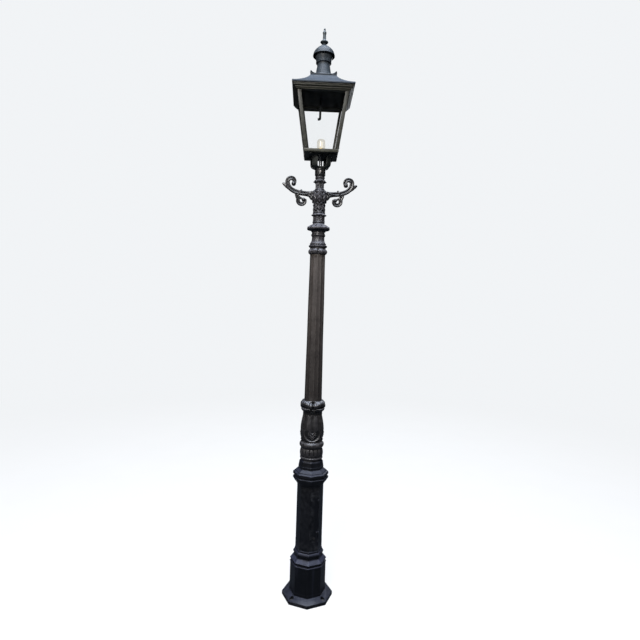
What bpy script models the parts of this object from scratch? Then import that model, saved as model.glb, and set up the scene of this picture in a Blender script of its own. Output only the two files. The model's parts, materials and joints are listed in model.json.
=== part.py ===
"""Cast iron street lamp post: an octagonal pedestal with a service door, a turned and fluted
column threaded over a steel core tube, two scroll ladder arms, and a tapered square lantern.
Metres, +Z up. Origin: centre of the post's foot, at ground level. The lantern door faces +Y."""
import math

import bmesh
import bpy
from mathutils import Matrix, Vector

GAP = 0.0003                 # clearance between neighbouring castings

# Top of each casting; the next one stands on it
BASE_TOP = 0.036
LOWER_TOP = 0.296
UPPER_TOP = 0.681
CORNICE_TOP = 0.842
BOWL_TOP = 0.954
VASE_TOP = 1.133
COLLAR_TOP = 1.202
SHAFT_TOP = 2.100
SHAFT_COLLAR_TOP = 2.157
BELL_TOP = 2.238
DISC_TOP = 2.293
NECK_TOP = 2.411
BOSS_TOP = 2.583
SPIGOT_TOP = 2.629

# Steel core tube and the bores round it
TUBE_R = 0.02415
TUBE_WALL = 0.0032
TUBE_LOW, TUBE_HIGH = 0.700, 2.636
BORE_R = 0.0255
SNUG_BORE_R = 0.0248         # bore of the castings at the top of the tube
OCTAGON_BORE = (TUBE_R + 0.0012) / math.cos(math.pi / 8)

HELPER = None                # the look of a boolean helper, which is not rendered

# Base colour, roughness, metallic, alpha
LOOKS = {
    "iron": ((0.020, 0.023, 0.030), 0.42, 0.25, 1.0),
    "brown_iron": ((0.060, 0.052, 0.046), 0.50, 0.20, 1.0),
    "lantern": ((0.085, 0.087, 0.070), 0.45, 0.35, 1.0),
    "roof": ((0.16, 0.18, 0.21), 0.38, 0.55, 1.0),
    "steel": ((0.45, 0.46, 0.47), 0.35, 1.0, 1.0),
    "brass": ((0.55, 0.42, 0.20), 0.30, 1.0, 1.0),
    "glass": ((0.85, 0.90, 0.90), 0.05, 0.0, 0.2),
    "lamp": ((0.90, 0.86, 0.72), 0.25, 0.0, 0.6),
    "rubber": ((0.02, 0.02, 0.02), 0.7, 0.0, 1.0),
    "plastic": ((0.10, 0.10, 0.11), 0.5, 0.0, 1.0),
    "board": ((0.35, 0.24, 0.13), 0.6, 0.0, 1.0),
}

for old in list(bpy.data.objects):
    bpy.data.objects.remove(old)

parts = bpy.data.collections.new("street_lamp_post")
cutters = bpy.data.collections.new("cutters")
for collection in (parts, cutters):
    bpy.context.scene.collection.children.link(collection)


# ---------------------------------------------------------------- shared builders
def material(name, look):
    colour, roughness, metallic, alpha = LOOKS[look]
    made = bpy.data.materials.new(name)
    made.use_nodes = True
    shader = made.node_tree.nodes["Principled BSDF"]
    shader.inputs["Base Color"].default_value = (*colour, 1.0)
    shader.inputs["Roughness"].default_value = roughness
    shader.inputs["Metallic"].default_value = metallic
    shader.inputs["Alpha"].default_value = alpha
    return made


def place(name, mesh, look):
    """Makes an object: a part with its own material, or a hidden helper."""
    obj = bpy.data.objects.new(name, mesh)
    if look is HELPER:
        cutters.objects.link(obj)
        obj.hide_render = True
        obj.display_type = "WIRE"
    else:
        parts.objects.link(obj)
        mesh.materials.append(material(name, look))
    return obj


def from_bmesh(name, bm, look, smooth=False):
    mesh = bpy.data.meshes.new(name)
    bmesh.ops.recalc_face_normals(bm, faces=bm.faces)
    bm.to_mesh(mesh)
    bm.free()
    if smooth:
        mesh.shade_smooth()
        mesh.set_sharp_from_angle(angle=math.radians(35))
    return place(name, mesh, look)


def box(name, low, high, look="iron", turn=0.0):
    """A block between two corners, in a frame turned about the post's axis."""
    bm = bmesh.new()
    bmesh.ops.create_cube(bm, size=1.0)
    bmesh.ops.scale(bm, vec=[b - a for a, b in zip(low, high)], verts=bm.verts)
    bmesh.ops.translate(bm, vec=[(a + b) / 2 for a, b in zip(low, high)], verts=bm.verts)
    obj = from_bmesh(name, bm, look)
    obj.rotation_euler.z = turn
    return obj


def cylinder(name, start, end, radius, look="iron", segments=20, radius_end=None, turn=0.0):
    """A cylinder, or a cone where radius_end is given, from start to end."""
    start, end = Vector(start), Vector(end)
    along = end - start
    bm = bmesh.new()
    bmesh.ops.create_cone(bm, cap_ends=True, segments=segments, radius1=radius,
                          radius2=radius if radius_end is None else radius_end,
                          depth=along.length)
    aim = along.to_track_quat("Z", "Y").to_matrix().to_4x4()
    matrix = Matrix.Translation((start + end) / 2) @ aim
    bmesh.ops.transform(bm, matrix=matrix, verts=bm.verts)
    obj = from_bmesh(name, bm, look, smooth=True)
    obj.rotation_euler.z = turn
    return obj


def turned(name, outline, look="iron", steps=24, bore=None, solid=False, turn=0.0, square=False):
    """An outline of (radius, height) points swept about +Z.

    The outline closes into a ring; bore adds a straight inner wall between the heights of its
    ends. A solid's outline stays open and ends on the axis. With square, radii are half widths.
    """
    if bore is not None:
        outline = outline + [(bore, outline[-1][1]), (bore, outline[0][1])]
    grow = math.sqrt(2) if square else 1.0
    points = [(radius * grow, 0.0, height) for radius, height in outline]
    edges = [(i, i + 1) for i in range(len(points) - 1)]
    if not solid:
        edges.append((len(points) - 1, 0))
    mesh = bpy.data.meshes.new(name)
    mesh.from_pydata(points, edges, [])
    obj = place(name, mesh, look)
    obj.rotation_euler.z = math.pi / 4 if square else turn
    screw = obj.modifiers.new("Turn", "SCREW")
    screw.steps = screw.render_steps = 4 if square else steps
    screw.use_merge_vertices = True
    screw.merge_threshold = 0.00001
    screw.use_smooth_shade = steps > 8 and not square
    return obj


def add_booleans(obj, others, operation):
    for other in others:
        modifier = obj.modifiers.new(operation.title(), "BOOLEAN")
        modifier.operation = operation
        modifier.object = other


def cut(obj, *others):
    add_booleans(obj, others, "DIFFERENCE")


def join(obj, *others):
    add_booleans(obj, others, "UNION")


def curve_mesh(name, data, look):
    """A mesh object made from curve data, with its caps welded on."""
    curve = bpy.data.objects.new(name, data)
    bpy.context.scene.collection.objects.link(curve)
    bpy.context.view_layer.update()
    graph = bpy.context.evaluated_depsgraph_get()
    unwelded = bpy.data.meshes.new_from_object(curve.evaluated_get(graph))
    bpy.data.objects.remove(curve)
    bm = bmesh.new()
    bm.from_mesh(unwelded)
    bpy.data.meshes.remove(unwelded)
    bmesh.ops.remove_doubles(bm, verts=bm.verts, dist=0.00002)
    return from_bmesh(name, bm, look)


def rod(name, points, radius, look="iron", taper=None):
    """A round bar along a line of points; taper scales its radius at each point."""
    data = bpy.data.curves.new(name, "CURVE")
    data.dimensions = "3D"
    data.bevel_depth = radius
    data.bevel_resolution = 1
    data.use_fill_caps = True
    line = data.splines.new("POLY")
    line.points.add(len(points) - 1)
    for i, point in enumerate(points):
        line.points[i].co = (*point, 1.0)
        line.points[i].radius = taper[i] if taper else 1.0
    return curve_mesh(name, data, look)


def flat(name, outline, half_thickness, look="iron"):
    """A flat outline in XY, thickened both ways along Z."""
    data = bpy.data.curves.new(name, "CURVE")
    data.dimensions = "2D"
    data.fill_mode = "BOTH"
    data.extrude = half_thickness
    line = data.splines.new("POLY")
    line.points.add(len(outline) - 1)
    for i, (x, y) in enumerate(outline):
        line.points[i].co = (x, y, 0.0, 1.0)
    line.use_cyclic_u = True
    return curve_mesh(name, data, look)


def strap_outline(centre, half):
    """Offsets a centreline to both sides by half, for a bar of even thickness."""
    left, right = [], []
    for i, point in enumerate(centre):
        before = Vector(centre[max(i - 1, 0)])
        after = Vector(centre[min(i + 1, len(centre) - 1)])
        along = (after - before).normalized()
        side = Vector((-along.y, along.x)) * half
        left.append(tuple(Vector(point) + side))
        right.append(tuple(Vector(point) - side))
    return left + right[::-1]


def arc(centre, radius, start, end, count, grow):
    """(x, z) points on a spiral arc, angles in degrees; grow is added to the radius by its end."""
    points = []
    for i in range(count):
        share = i / (count - 1)
        angle = math.radians(start + (end - start) * share)
        reach = radius + grow * share
        points.append((centre[0] + reach * math.cos(angle), centre[1] + reach * math.sin(angle)))
    return points


def four_spots(radius, first):
    """Four (x, y) places on a circle, a quarter turn apart, the first at an angle in degrees."""
    angles = [math.radians(first + 90 * i) for i in range(4)]
    return [(radius * math.cos(angle), radius * math.sin(angle)) for angle in angles]


def set_origin(obj, point):
    """Moves a piece's origin to a point and leaves its shape where it is."""
    turn = Matrix.Rotation(obj.rotation_euler.z, 4, "Z")
    obj.data.transform(Matrix.Translation(-(turn.inverted() @ Vector(point))))
    obj.location = point


# ---------------------------------------------------------------- pedestal
# Radii of the octagonal castings run to their corners
BASE_R = 0.155
BASE_BORE_R = 0.062
LOWER_R = 0.111
LOWER_WALL = 0.014
UPPER_R = 0.081
UPPER_WALL = 0.009
APOTHEM = UPPER_R * math.cos(math.pi / 8)

BOLT_SPOTS = four_spots(0.131, 45)
BOLT_R = 0.0060
BOLT_HEAD_R = 0.0100
BOLT_HEAD_HEIGHT = 0.0080
POCKET_R = 0.0135
POCKET_FLOOR = 0.012

# Service door, in a frame where it faces -Y
DOOR_FACE = math.radians(22.5)   # turns the -Y direction onto the door's face
DOOR_LOW, DOOR_HIGH = 0.357, 0.640
DOOR_HALF = 0.026
DOOR_T = 0.004
DOOR_OUTER_Y = -APOTHEM - 0.0006
LOCK_Z = DOOR_LOW + 0.019
LOCK_R = 0.0065

# Door hinges: the pedestal's knuckle stands at z, the door's knuckle just above it
DOOR_HINGES = [("lower", DOOR_LOW + 0.040), ("upper", DOOR_HIGH - 0.050)]
PIN_X, PIN_Y = 0.0268, -(APOTHEM + 0.0045)
PIN_R = 0.0016
KNUCKLE_R = 0.0036
KNUCKLE_HEIGHT = 0.009
DOOR_KNUCKLE_RISE = KNUCKLE_HEIGHT + 0.0005

LOWER_PEDESTAL = [   # radius, height
    (0.0800, LOWER_TOP), (0.0905, 0.283), (0.0924, 0.271), (0.0910, 0.262), (0.0910, 0.247),
    (0.0950, 0.243), (LOWER_R, 0.228), (LOWER_R, 0.224), (0.1075, 0.222), (0.1075, 0.212),
    (LOWER_R, 0.210), (0.1120, 0.2075), (LOWER_R, 0.205), (LOWER_R - 0.0005, 0.050),
    (LOWER_R, 0.046), (LOWER_R, BASE_TOP + GAP),
    (LOWER_R - LOWER_WALL, BASE_TOP + GAP), (LOWER_R - LOWER_WALL, 0.215), (0.080, 0.250),
    (0.0680, 0.270), (0.0680, LOWER_TOP)]
PEDESTAL_CORNICE = [   # radius, height
    (0.0626, CORNICE_TOP - 0.001), (0.0626, 0.830), (0.0720, 0.817), (0.0760, 0.805),
    (0.0770, 0.792), (0.0890, 0.780), (0.0995, 0.768), (0.1090, 0.757), (0.1090, 0.743),
    (0.1085, 0.730), (0.1085, 0.718), (0.1000, 0.706), (0.0890, 0.693), (UPPER_R, UPPER_TOP),
    (0.0600, UPPER_TOP), (0.0600, 0.770), (OCTAGON_BORE, 0.795),
    (OCTAGON_BORE, CORNICE_TOP - 0.001)]


def build_base_flange():
    outline = [(0.115, BASE_TOP), (0.119, 0.0345), (BASE_R, 0.019), (BASE_R, 0.0)]
    flange = turned("base_flange", outline, steps=8, bore=BASE_BORE_R)
    for number, (x, y) in enumerate(BOLT_SPOTS, 1):
        cut(flange,
            cylinder(f"pocket_cutter_{number}", (x, y, POCKET_FLOOR), (x, y, 0.060), POCKET_R,
                     HELPER, segments=16),
            cylinder(f"hole_cutter_{number}", (x, y, -0.010), (x, y, 0.020), BOLT_R + 0.0006,
                     HELPER, segments=16))


def build_anchor_bolts():
    head_low = POCKET_FLOOR + GAP
    for number, (x, y) in enumerate(BOLT_SPOTS, 1):
        bolt = cylinder(f"anchor_bolt_{number}", (x, y, head_low),
                        (x, y, head_low + BOLT_HEAD_HEIGHT), BOLT_HEAD_R, "steel", segments=6)
        join(bolt, cylinder(f"anchor_shank_{number}", (x, y, 0.0005), (x, y, 0.0150), BOLT_R,
                            HELPER, segments=12))


def on_pin(name, low, high, radius, look=HELPER, segments=12):
    """An upright cylinder on the service door's hinge axis."""
    return cylinder(name, (PIN_X, PIN_Y, low), (PIN_X, PIN_Y, high), radius, look,
                    segments=segments, turn=DOOR_FACE)


def build_upper_pedestal():
    outline = [
        (UPPER_R, UPPER_TOP - GAP), (UPPER_R, LOWER_TOP + 0.052),
        (UPPER_R + 0.0006, LOWER_TOP + 0.050), (UPPER_R + 0.0006, LOWER_TOP + GAP)]
    pedestal = turned("upper_pedestal", outline, steps=8, bore=UPPER_R - UPPER_WALL)
    cut(pedestal, box("door_opening_cutter",
                      (-DOOR_HALF - 0.0012, -0.09, DOOR_LOW - 0.0007),
                      (DOOR_HALF + 0.0009, -0.055, DOOR_HIGH + 0.0007),
                      HELPER, turn=DOOR_FACE))
    for which, z in DOOR_HINGES:
        top = z + KNUCKLE_HEIGHT
        join(pedestal,
             on_pin(f"pedestal_knuckle_{which}", z, top, KNUCKLE_R),
             box(f"pedestal_lug_{which}", (PIN_X + 0.0002, PIN_Y - 0.0020, z),
                 (PIN_X + 0.0036, -APOTHEM + 0.003, top), HELPER, turn=DOOR_FACE))
        cut(pedestal, on_pin(f"pin_cutter_{which}", z - 0.002, z + 0.012, PIN_R + GAP))


def build_door_hinge_pins():
    for which, z in DOOR_HINGES:
        on_pin(f"door_hinge_pin_{which}", z + 0.001, z + 0.019, PIN_R, "steel", segments=10)


def on_lock(name, outer_y, inner_y, radius, look=HELPER, segments=20):
    """A cylinder on the door lock's axis, running inward."""
    return cylinder(name, (0, outer_y, LOCK_Z), (0, inner_y, LOCK_Z), radius, look,
                    segments=segments, turn=DOOR_FACE)


def build_access_door():
    door = box("access_door", (-DOOR_HALF, DOOR_OUTER_Y, DOOR_LOW),
               (DOOR_HALF, DOOR_OUTER_Y + DOOR_T, DOOR_HIGH), turn=DOOR_FACE)
    for which, z in DOOR_HINGES:
        low = z + DOOR_KNUCKLE_RISE
        high = low + KNUCKLE_HEIGHT
        join(door,
             on_pin(f"door_knuckle_{which}", low, high, KNUCKLE_R),
             box(f"door_leaf_{which}", (0.0120, -APOTHEM - 0.0024, low),
                 (PIN_X - 0.0022, -APOTHEM + 0.0010, high), HELPER, turn=DOOR_FACE),
             box(f"door_web_{which}", (PIN_X - 0.0050, PIN_Y - 0.0015, low),
                 (PIN_X - 0.0010, -APOTHEM - 0.0012, high), HELPER, turn=DOOR_FACE))
        cut(door, on_pin(f"door_pin_cutter_{which}", z - 0.002, z + 0.022, PIN_R + GAP))
    cut(door, on_lock("lock_cutter", -0.095, -0.060, LOCK_R + 0.0005))
    hinge_middle = Vector((PIN_X, PIN_Y, (DOOR_LOW + DOOR_HIGH) / 2))
    set_origin(door, Matrix.Rotation(DOOR_FACE, 4, "Z") @ hinge_middle)


def build_door_lock():
    """The barrel with a three-sided key socket and the cam behind the door."""
    lock = on_lock("door_lock", -APOTHEM - 0.0030, -APOTHEM + 0.0118, LOCK_R, "brass")
    cut(lock, on_lock("key_socket", -0.095, -APOTHEM + 0.0020, 0.0038, segments=3))
    join(lock, box("lock_cam", (-0.004, -APOTHEM + 0.0098, LOCK_Z - 0.004),
                   (0.0225, -APOTHEM + 0.0128, LOCK_Z + 0.004), HELPER, turn=DOOR_FACE))
    set_origin(lock, Matrix.Rotation(DOOR_FACE, 4, "Z") @ Vector((0, -APOTHEM, LOCK_Z)))


# ---------------------------------------------------------------- behind the service door
BOARD_FRONT = 0.0560
CUTOUT_BACK = BOARD_FRONT - GAP
CUTOUT_LOW, CUTOUT_HIGH = 0.430, 0.530
CARRIER_HALF = 0.0120
CARRIER_LOW, CARRIER_HIGH = 0.4500, 0.5100
CARRIER_PLAY = 0.0005
CABLE_GAP = 0.0005
CABLE_X, CABLE_Y = -0.0128, 0.0309     # where both cables meet the cutout


def build_cutout():
    box("service_board", (-0.025, BOARD_FRONT, 0.400), (0.025, 0.0640, 0.620), "board",
        turn=DOOR_FACE)
    base = box("cutout_base", (-0.023, 0.0080, CUTOUT_LOW), (0.023, CUTOUT_BACK, CUTOUT_HIGH),
               "plastic", turn=DOOR_FACE)
    slot_half = CARRIER_HALF + CARRIER_PLAY
    cut(base, box("carrier_slot", (-slot_half, -0.010, CARRIER_LOW - CARRIER_PLAY),
                  (slot_half, 0.0380, CARRIER_HIGH + CARRIER_PLAY), HELPER, turn=DOOR_FACE))


def build_fuse_carrier():
    carrier = box("fuse_carrier", (-CARRIER_HALF, 0.0, CARRIER_LOW),
                  (CARRIER_HALF, 0.0370, CARRIER_HIGH), "plastic", turn=DOOR_FACE)
    join(carrier, box("carrier_grip", (-0.0040, -0.0110, 0.4620), (0.0040, 0.0010, 0.4980),
                      HELPER, turn=DOOR_FACE))
    set_origin(carrier, Vector((0.0, 0.0, (CARRIER_LOW + CARRIER_HIGH) / 2)))


def build_cables():
    rod("supply_cable", [
        (0.0, 0.020, 0.004), (0.0, 0.020, 0.150), (-0.010, 0.026, 0.260),
        (CABLE_X, CABLE_Y, 0.350), (CABLE_X, CABLE_Y, CUTOUT_LOW - CABLE_GAP)], 0.0085, "rubber")
    rod("lamp_cable", [
        (CABLE_X, CABLE_Y, CUTOUT_HIGH + CABLE_GAP), (CABLE_X, CABLE_Y, 0.600),
        (-0.004, 0.010, 0.680), (0.0, 0.0, 0.740), (0.0, 0.0, 2.690)], 0.0045, "rubber")


def build_earth_stud():
    cylinder("earth_stud", (0.015, CUTOUT_BACK, 0.595), (0.015, 0.0400, 0.595), 0.0040, "brass",
             segments=10, turn=DOOR_FACE)


# ---------------------------------------------------------------- column
SHAFT_R_LOW, SHAFT_R_HIGH = 0.054, 0.047
SHAFT_BORE_R = 0.0365
FLUTES = 12
FLUTE_DEPTH = 0.0035
SET_SCREW_Z = 2.608

# Name, steps, bore radius, outline of (radius, height)
COLUMN_CASTINGS = [
    ("gadroon_bowl", 28, BORE_R, [
        (0.0650, BOWL_TOP - GAP), (0.0650, 0.947), (0.0730, 0.941), (0.0744, 0.929),
        (0.0710, 0.917), (0.0650, 0.910), (0.0650, 0.900), (0.0690, 0.890), (0.0707, 0.876),
        (0.0700, 0.864), (0.0650, 0.857), (0.0690, 0.853), (0.0690, CORNICE_TOP)]),
    ("vase", 28, BORE_R, [
        (0.0615, VASE_TOP - GAP), (0.0583, 1.116), (0.0600, 1.100), (0.0660, 1.072),
        (0.0710, 1.040), (0.0740, 1.010), (0.0735, 0.990), (0.0707, 0.976), (0.0660, 0.962),
        (0.0660, BOWL_TOP)]),
    ("shaft_collar", 24, BORE_R, [
        (0.0500, SHAFT_COLLAR_TOP - GAP), (0.0564, 2.155), (0.0564, 2.145), (0.0500, 2.139),
        (0.0510, 2.132), (0.0590, 2.121), (0.0585, 2.107), (0.0540, SHAFT_TOP)]),
    ("bell_capital", 20, BORE_R, [
        (0.0385, BELL_TOP - GAP), (0.0400, 2.229), (0.0437, 2.222), (0.0437, 2.214),
        (0.0385, 2.208), (0.0385, 2.200), (0.0400, 2.188), (0.0430, 2.178), (0.0485, 2.166),
        (0.0490, SHAFT_COLLAR_TOP)]),
    ("drip_disc", 24, BORE_R, [
        (0.0360, DISC_TOP - GAP), (0.0420, 2.284), (0.0520, 2.276), (0.0690, 2.267),
        (0.0730, 2.260), (0.0730, 2.254), (0.0680, 2.250), (0.0460, 2.246),
        (0.0430, BELL_TOP)]),
    ("ornate_neck", 20, BORE_R, [
        (0.0370, NECK_TOP - GAP), (0.0365, 2.390), (0.0365, 2.356), (0.0400, 2.350),
        (0.0480, 2.344), (0.0440, 2.336), (0.0380, 2.328), (0.0375, 2.306), (0.0360, 2.300),
        (0.0360, DISC_TOP)]),
    ("arm_boss", 20, SNUG_BORE_R, [
        (0.0255, BOSS_TOP - GAP), (0.0300, 2.570), (0.0290, 2.564), (0.0330, 2.560),
        (0.0420, 2.553), (0.0360, 2.543), (0.0305, 2.532), (0.0295, 2.515), (0.0320, 2.505),
        (0.0400, 2.495), (0.0460, 2.484), (0.0460, 2.462), (0.0440, 2.442), (0.0400, 2.424),
        (0.0385, NECK_TOP)]),
    ("core_tube", 20, TUBE_R - TUBE_WALL, [(TUBE_R, TUBE_HIGH), (TUBE_R, TUBE_LOW)]),
]


def build_column_castings():
    for name, steps, bore, outline in COLUMN_CASTINGS:
        look = "steel" if name == "core_tube" else "iron"
        turned(name, outline, look, steps=steps, bore=bore)


def build_leaf_collar():
    collar = turned("leaf_collar", [
        (0.0520, COLLAR_TOP - GAP), (0.0620, 1.198), (0.0735, 1.187), (0.0806, 1.175),
        (0.0815, 1.155), (0.0775, 1.140), (0.0690, 1.136), (0.0690, VASE_TOP)],
        bore=BORE_R, turn=math.pi / 24)
    # Notches between the four drooping leaves
    for number, (x, y) in enumerate(four_spots(0.083, 0), 1):
        cut(collar, cylinder(f"leaf_notch_{number}", (x, y, 1.127), (x, y, 1.169), 0.012,
                             HELPER, segments=12, radius_end=0.0005))


def build_fluted_shaft():
    segments = 3 * FLUTES
    bm = bmesh.new()
    bmesh.ops.create_cone(bm, cap_ends=True, segments=segments, radius1=SHAFT_R_LOW,
                          radius2=SHAFT_R_HIGH, depth=SHAFT_TOP - COLLAR_TOP - 2 * GAP)
    for vert in bm.verts:
        segment = round(math.atan2(vert.co.y, vert.co.x) / (2 * math.pi / segments))
        if segment % 3 == 0:    # every third corner is the bottom of a flute
            radius = vert.co.xy.length
            scale = (radius - FLUTE_DEPTH) / radius
            vert.co.x *= scale
            vert.co.y *= scale
    bmesh.ops.translate(bm, vec=(0, 0, (SHAFT_TOP + COLLAR_TOP) / 2), verts=bm.verts)
    shaft = from_bmesh("fluted_shaft", bm, "brown_iron")
    cut(shaft, cylinder("shaft_bore_cutter", (0, 0, COLLAR_TOP - 0.05), (0, 0, SHAFT_TOP + 0.05),
                        SHAFT_BORE_R, HELPER, segments=24))


def build_spigot_collar():
    """The collar at the top of the post and the two set screws through it."""
    collar = turned("spigot_collar", [
        (0.0330, SPIGOT_TOP - GAP), (0.0330, 2.622), (0.0325, 2.592), (0.0300, 2.588),
        (0.0290, BOSS_TOP)], steps=20, bore=SNUG_BORE_R)

    def radial(name, side, inner, outer, radius, look, segments):
        return cylinder(name, (0, side * inner, SET_SCREW_Z), (0, side * outer, SET_SCREW_Z),
                        radius, look, segments=segments)

    for which, side in (("front", -1), ("back", 1)):
        cut(collar, radial(f"set_screw_cutter_{which}", side, 0.020, 0.040, 0.0040, HELPER, 12))
        screw = radial(f"set_screw_{which}", side, 0.0247, 0.0345, 0.0036, "steel", 12)
        join(screw, radial(f"set_screw_head_{which}", side, 0.0338, 0.0385, 0.0058, HELPER, 6))


# ---------------------------------------------------------------- scroll arms for the ladder
# Centrelines of (x, z) points for the right arm, and radius factors along them
ARM = [
    (0.0465, 2.474), (0.070, 2.474), (0.100, 2.476), (0.130, 2.479), (0.152, 2.486),
    (0.173, 2.498), (0.190, 2.514), (0.201, 2.532),
    *arc((0.1755, 2.551), 0.0275, -8, 222, 13, grow=-0.003)]
ARM_TAPER = [1.9, 1.6, 1.45, 1.35, 1.25, 1.2, 1.1, 1.05] + [1.0 - 0.02 * i for i in range(13)]
LOWER_SCROLL = [
    (0.150, 2.486), (0.147, 2.468),
    *arc((0.111, 2.432), 0.0290, 28, -200, 13, grow=-0.004)]
LOWER_TAPER = [1.1, 1.1] + [1.05 - 0.015 * i for i in range(13)]
LEAF_END_R = 0.0020


def build_scroll_arm(name, side):
    arm = rod(f"scroll_arm_{name}", [(side * x, 0.0, z) for x, z in ARM], 0.0078,
              taper=ARM_TAPER)
    join(arm,
         rod(f"lower_scroll_{name}", [(side * x, 0.0, z) for x, z in LOWER_SCROLL], 0.0072,
             HELPER, taper=LOWER_TAPER),
         cylinder(f"leaf_tip_{name}", (side * 0.196, 0, 2.508), (side * 0.2325, 0, 2.5385),
                  0.0065, HELPER, segments=8, radius_end=LEAF_END_R),
         cylinder(f"leaf_spike_{name}", (side * 0.122, 0, 2.472), (side * 0.107, 0, 2.5045),
                  0.0080, HELPER, segments=8, radius_end=LEAF_END_R))


# ---------------------------------------------------------------- lantern's four-legged cradle
LEG_HALF_T = 0.0040
LEG_HALF_WIDTH = 0.0120
PIPE_R = 0.0105
LEG = [   # centreline: distance from the axis, height
    (0.0300, 2.6355), (0.0420, 2.6350), (0.0500, 2.6370), (0.0565, 2.6430), (0.0595, 2.6520),
    (0.0600, 2.6640), (0.0600, 2.6890), (0.0625, 2.6980), (0.0690, 2.7030), (0.0800, 2.7035),
    (0.1120, 2.7035)]


def build_lantern_frog():
    frog = turned("lantern_frog", [
        (0.0340, 2.6420), (0.0365, 2.6380), (0.0365, 2.6330), (0.0340, SPIGOT_TOP)],
        steps=20, bore=SNUG_BORE_R)
    upright = Matrix.Rotation(math.pi / 2, 4, "X")
    for i in range(4):
        leg = flat(f"frog_leg_{i + 1}", strap_outline(LEG, LEG_HALF_T), LEG_HALF_WIDTH, HELPER)
        leg.matrix_world = Matrix.Rotation(math.radians(45 + 90 * i), 4, "Z") @ upright
        join(frog, leg)


def build_riser_pipe():
    turned("riser_pipe", [(PIPE_R, 2.7320), (PIPE_R, 2.5900)], "steel", steps=20, bore=0.0075)


# ---------------------------------------------------------------- lantern body
LOW_HALF, LOW_Z = 0.102, 2.708       # half width and height at the base frame
HIGH_HALF, HIGH_Z = 0.153, 3.055     # the same under the cornice
SLOPE = (HIGH_HALF - LOW_HALF) / (HIGH_Z - LOW_Z)
FRAME_Z = 2.726                      # top of the base frame
BAR = 0.022                          # width of a corner bar's legs
BAR_T = 0.004
TRAY_HALF = 0.0815
TRAY_LOW, TRAY_HIGH = 2.7133, 2.7163

# Lantern door, at the back
STILE = 0.016
REBATE = 0.005
GLASS_LAP = 0.0046                   # how far the door glass reaches into the rebate
DOOR_FRAME_LOW, DOOR_FRAME_HIGH = FRAME_Z + 0.0024, HIGH_Z - 0.0030
LANTERN_HINGES = [("lower", 2.790), ("upper", 2.985)]
LEAN = Vector((-SLOPE, SLOPE, 1.0)).normalized()   # along the hinge axis
LATCH_Z = 2.880
OUT = Vector((0.0, 1.0, -SLOPE)).normalized()      # square to the leaning door


def half_at(z):
    """Half width of the tapered body at a height."""
    return LOW_HALF + SLOPE * (z - LOW_Z)


LATCH_SPOT = Vector((half_at(LATCH_Z) - BAR - 0.0069, half_at(LATCH_Z), LATCH_Z))


def build_base_frame():
    turned("lantern_base_frame", [
        (half_at(FRAME_Z), FRAME_Z), (LOW_HALF, LOW_Z), (0.0720, LOW_Z), (0.0720, 2.7130),
        (0.0820, 2.7130), (0.0820, FRAME_Z)], "lantern", square=True)


def build_tray():
    tray = box("lantern_tray", (-TRAY_HALF, -TRAY_HALF, TRAY_LOW),
               (TRAY_HALF, TRAY_HALF, TRAY_HIGH), "lantern")
    cut(tray, cylinder("tray_hole_cutter", (0, 0, 2.700), (0, 0, 2.730), PIPE_R + 0.0006, HELPER))


def build_corner_bar(name, side_x, side_y):
    """An L-shaped bar leaning out with the body's corner."""
    low, high = FRAME_Z + GAP, HIGH_Z - GAP
    middle = (low + high) / 2
    section = [(0, 0), (-BAR, 0), (-BAR, -BAR_T), (-BAR_T, -BAR_T), (-BAR_T, -BAR), (0, -BAR)]
    bar = flat(f"corner_bar_{name}", [(side_x * x, side_y * y) for x, y in section],
               (high - low) / 2, "lantern")
    lean = Matrix.Identity(4)
    lean[0][2], lean[1][2] = side_x * SLOPE, side_y * SLOPE
    corner = (side_x * half_at(middle), side_y * half_at(middle), middle)
    bar.data.transform(Matrix.Translation(corner) @ lean)
    return bar


def leaning_pane(name, low, high, inset, outer, inner, look, turn):
    """A flat pane in a leaning side of the lantern, built at -Y and then turned.

    outer and inner are its faces' depths inside the body, and inset its distance in from the
    body's corner at every height.
    """
    bm = bmesh.new()
    bmesh.ops.create_cube(bm, size=2.0)
    for vert in bm.verts:
        z = high if vert.co.z > 0 else low
        vert.co.x = math.copysign(half_at(z) - inset, vert.co.x)
        vert.co.y = -half_at(z) + (inner if vert.co.y > 0 else outer)
        vert.co.z = z
    obj = from_bmesh(name, bm, look)
    obj.rotation_euler.z = turn
    return obj


def build_fixed_panes():
    for name, turn in (("front", 0.0), ("right", math.pi / 2), ("left", -math.pi / 2)):
        leaning_pane(f"glass_{name}", FRAME_Z + 0.0008, HIGH_Z - 0.0008, 0.0092, 0.0046, 0.0080,
                     "glass", turn)


def on_hinge(z):
    """A point of the lantern door's hinge axis, which leans with the back left corner bar."""
    return Vector((-(half_at(z) - BAR - 0.0004), half_at(z) + 0.0046, z))


def along_hinge(name, z, start, end, radius):
    """A cylinder on the leaning hinge axis, between distances from its point at z."""
    spot = on_hinge(z)
    return cylinder(name, spot + LEAN * start, spot + LEAN * end, radius, HELPER, segments=12)


def hinge_leaf(name, z, left, right, rise):
    """A block tying a knuckle to its piece: left and right from the axis, rise above z."""
    spot = on_hinge(z)
    return box(name, (spot.x + left, spot.y - 0.0065, z + rise),
               (spot.x + right, spot.y - 0.0005, z + rise + 0.0080), HELPER)


def door_pane(name, margin, outer, inner, look):
    """A pane of the lantern door, margin being its distance in from the door frame's edge."""
    inset = BAR + margin if margin else BAR + 0.0014
    return leaning_pane(name, DOOR_FRAME_LOW + margin, DOOR_FRAME_HIGH - margin, inset,
                        outer, inner, look, math.pi)


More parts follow.
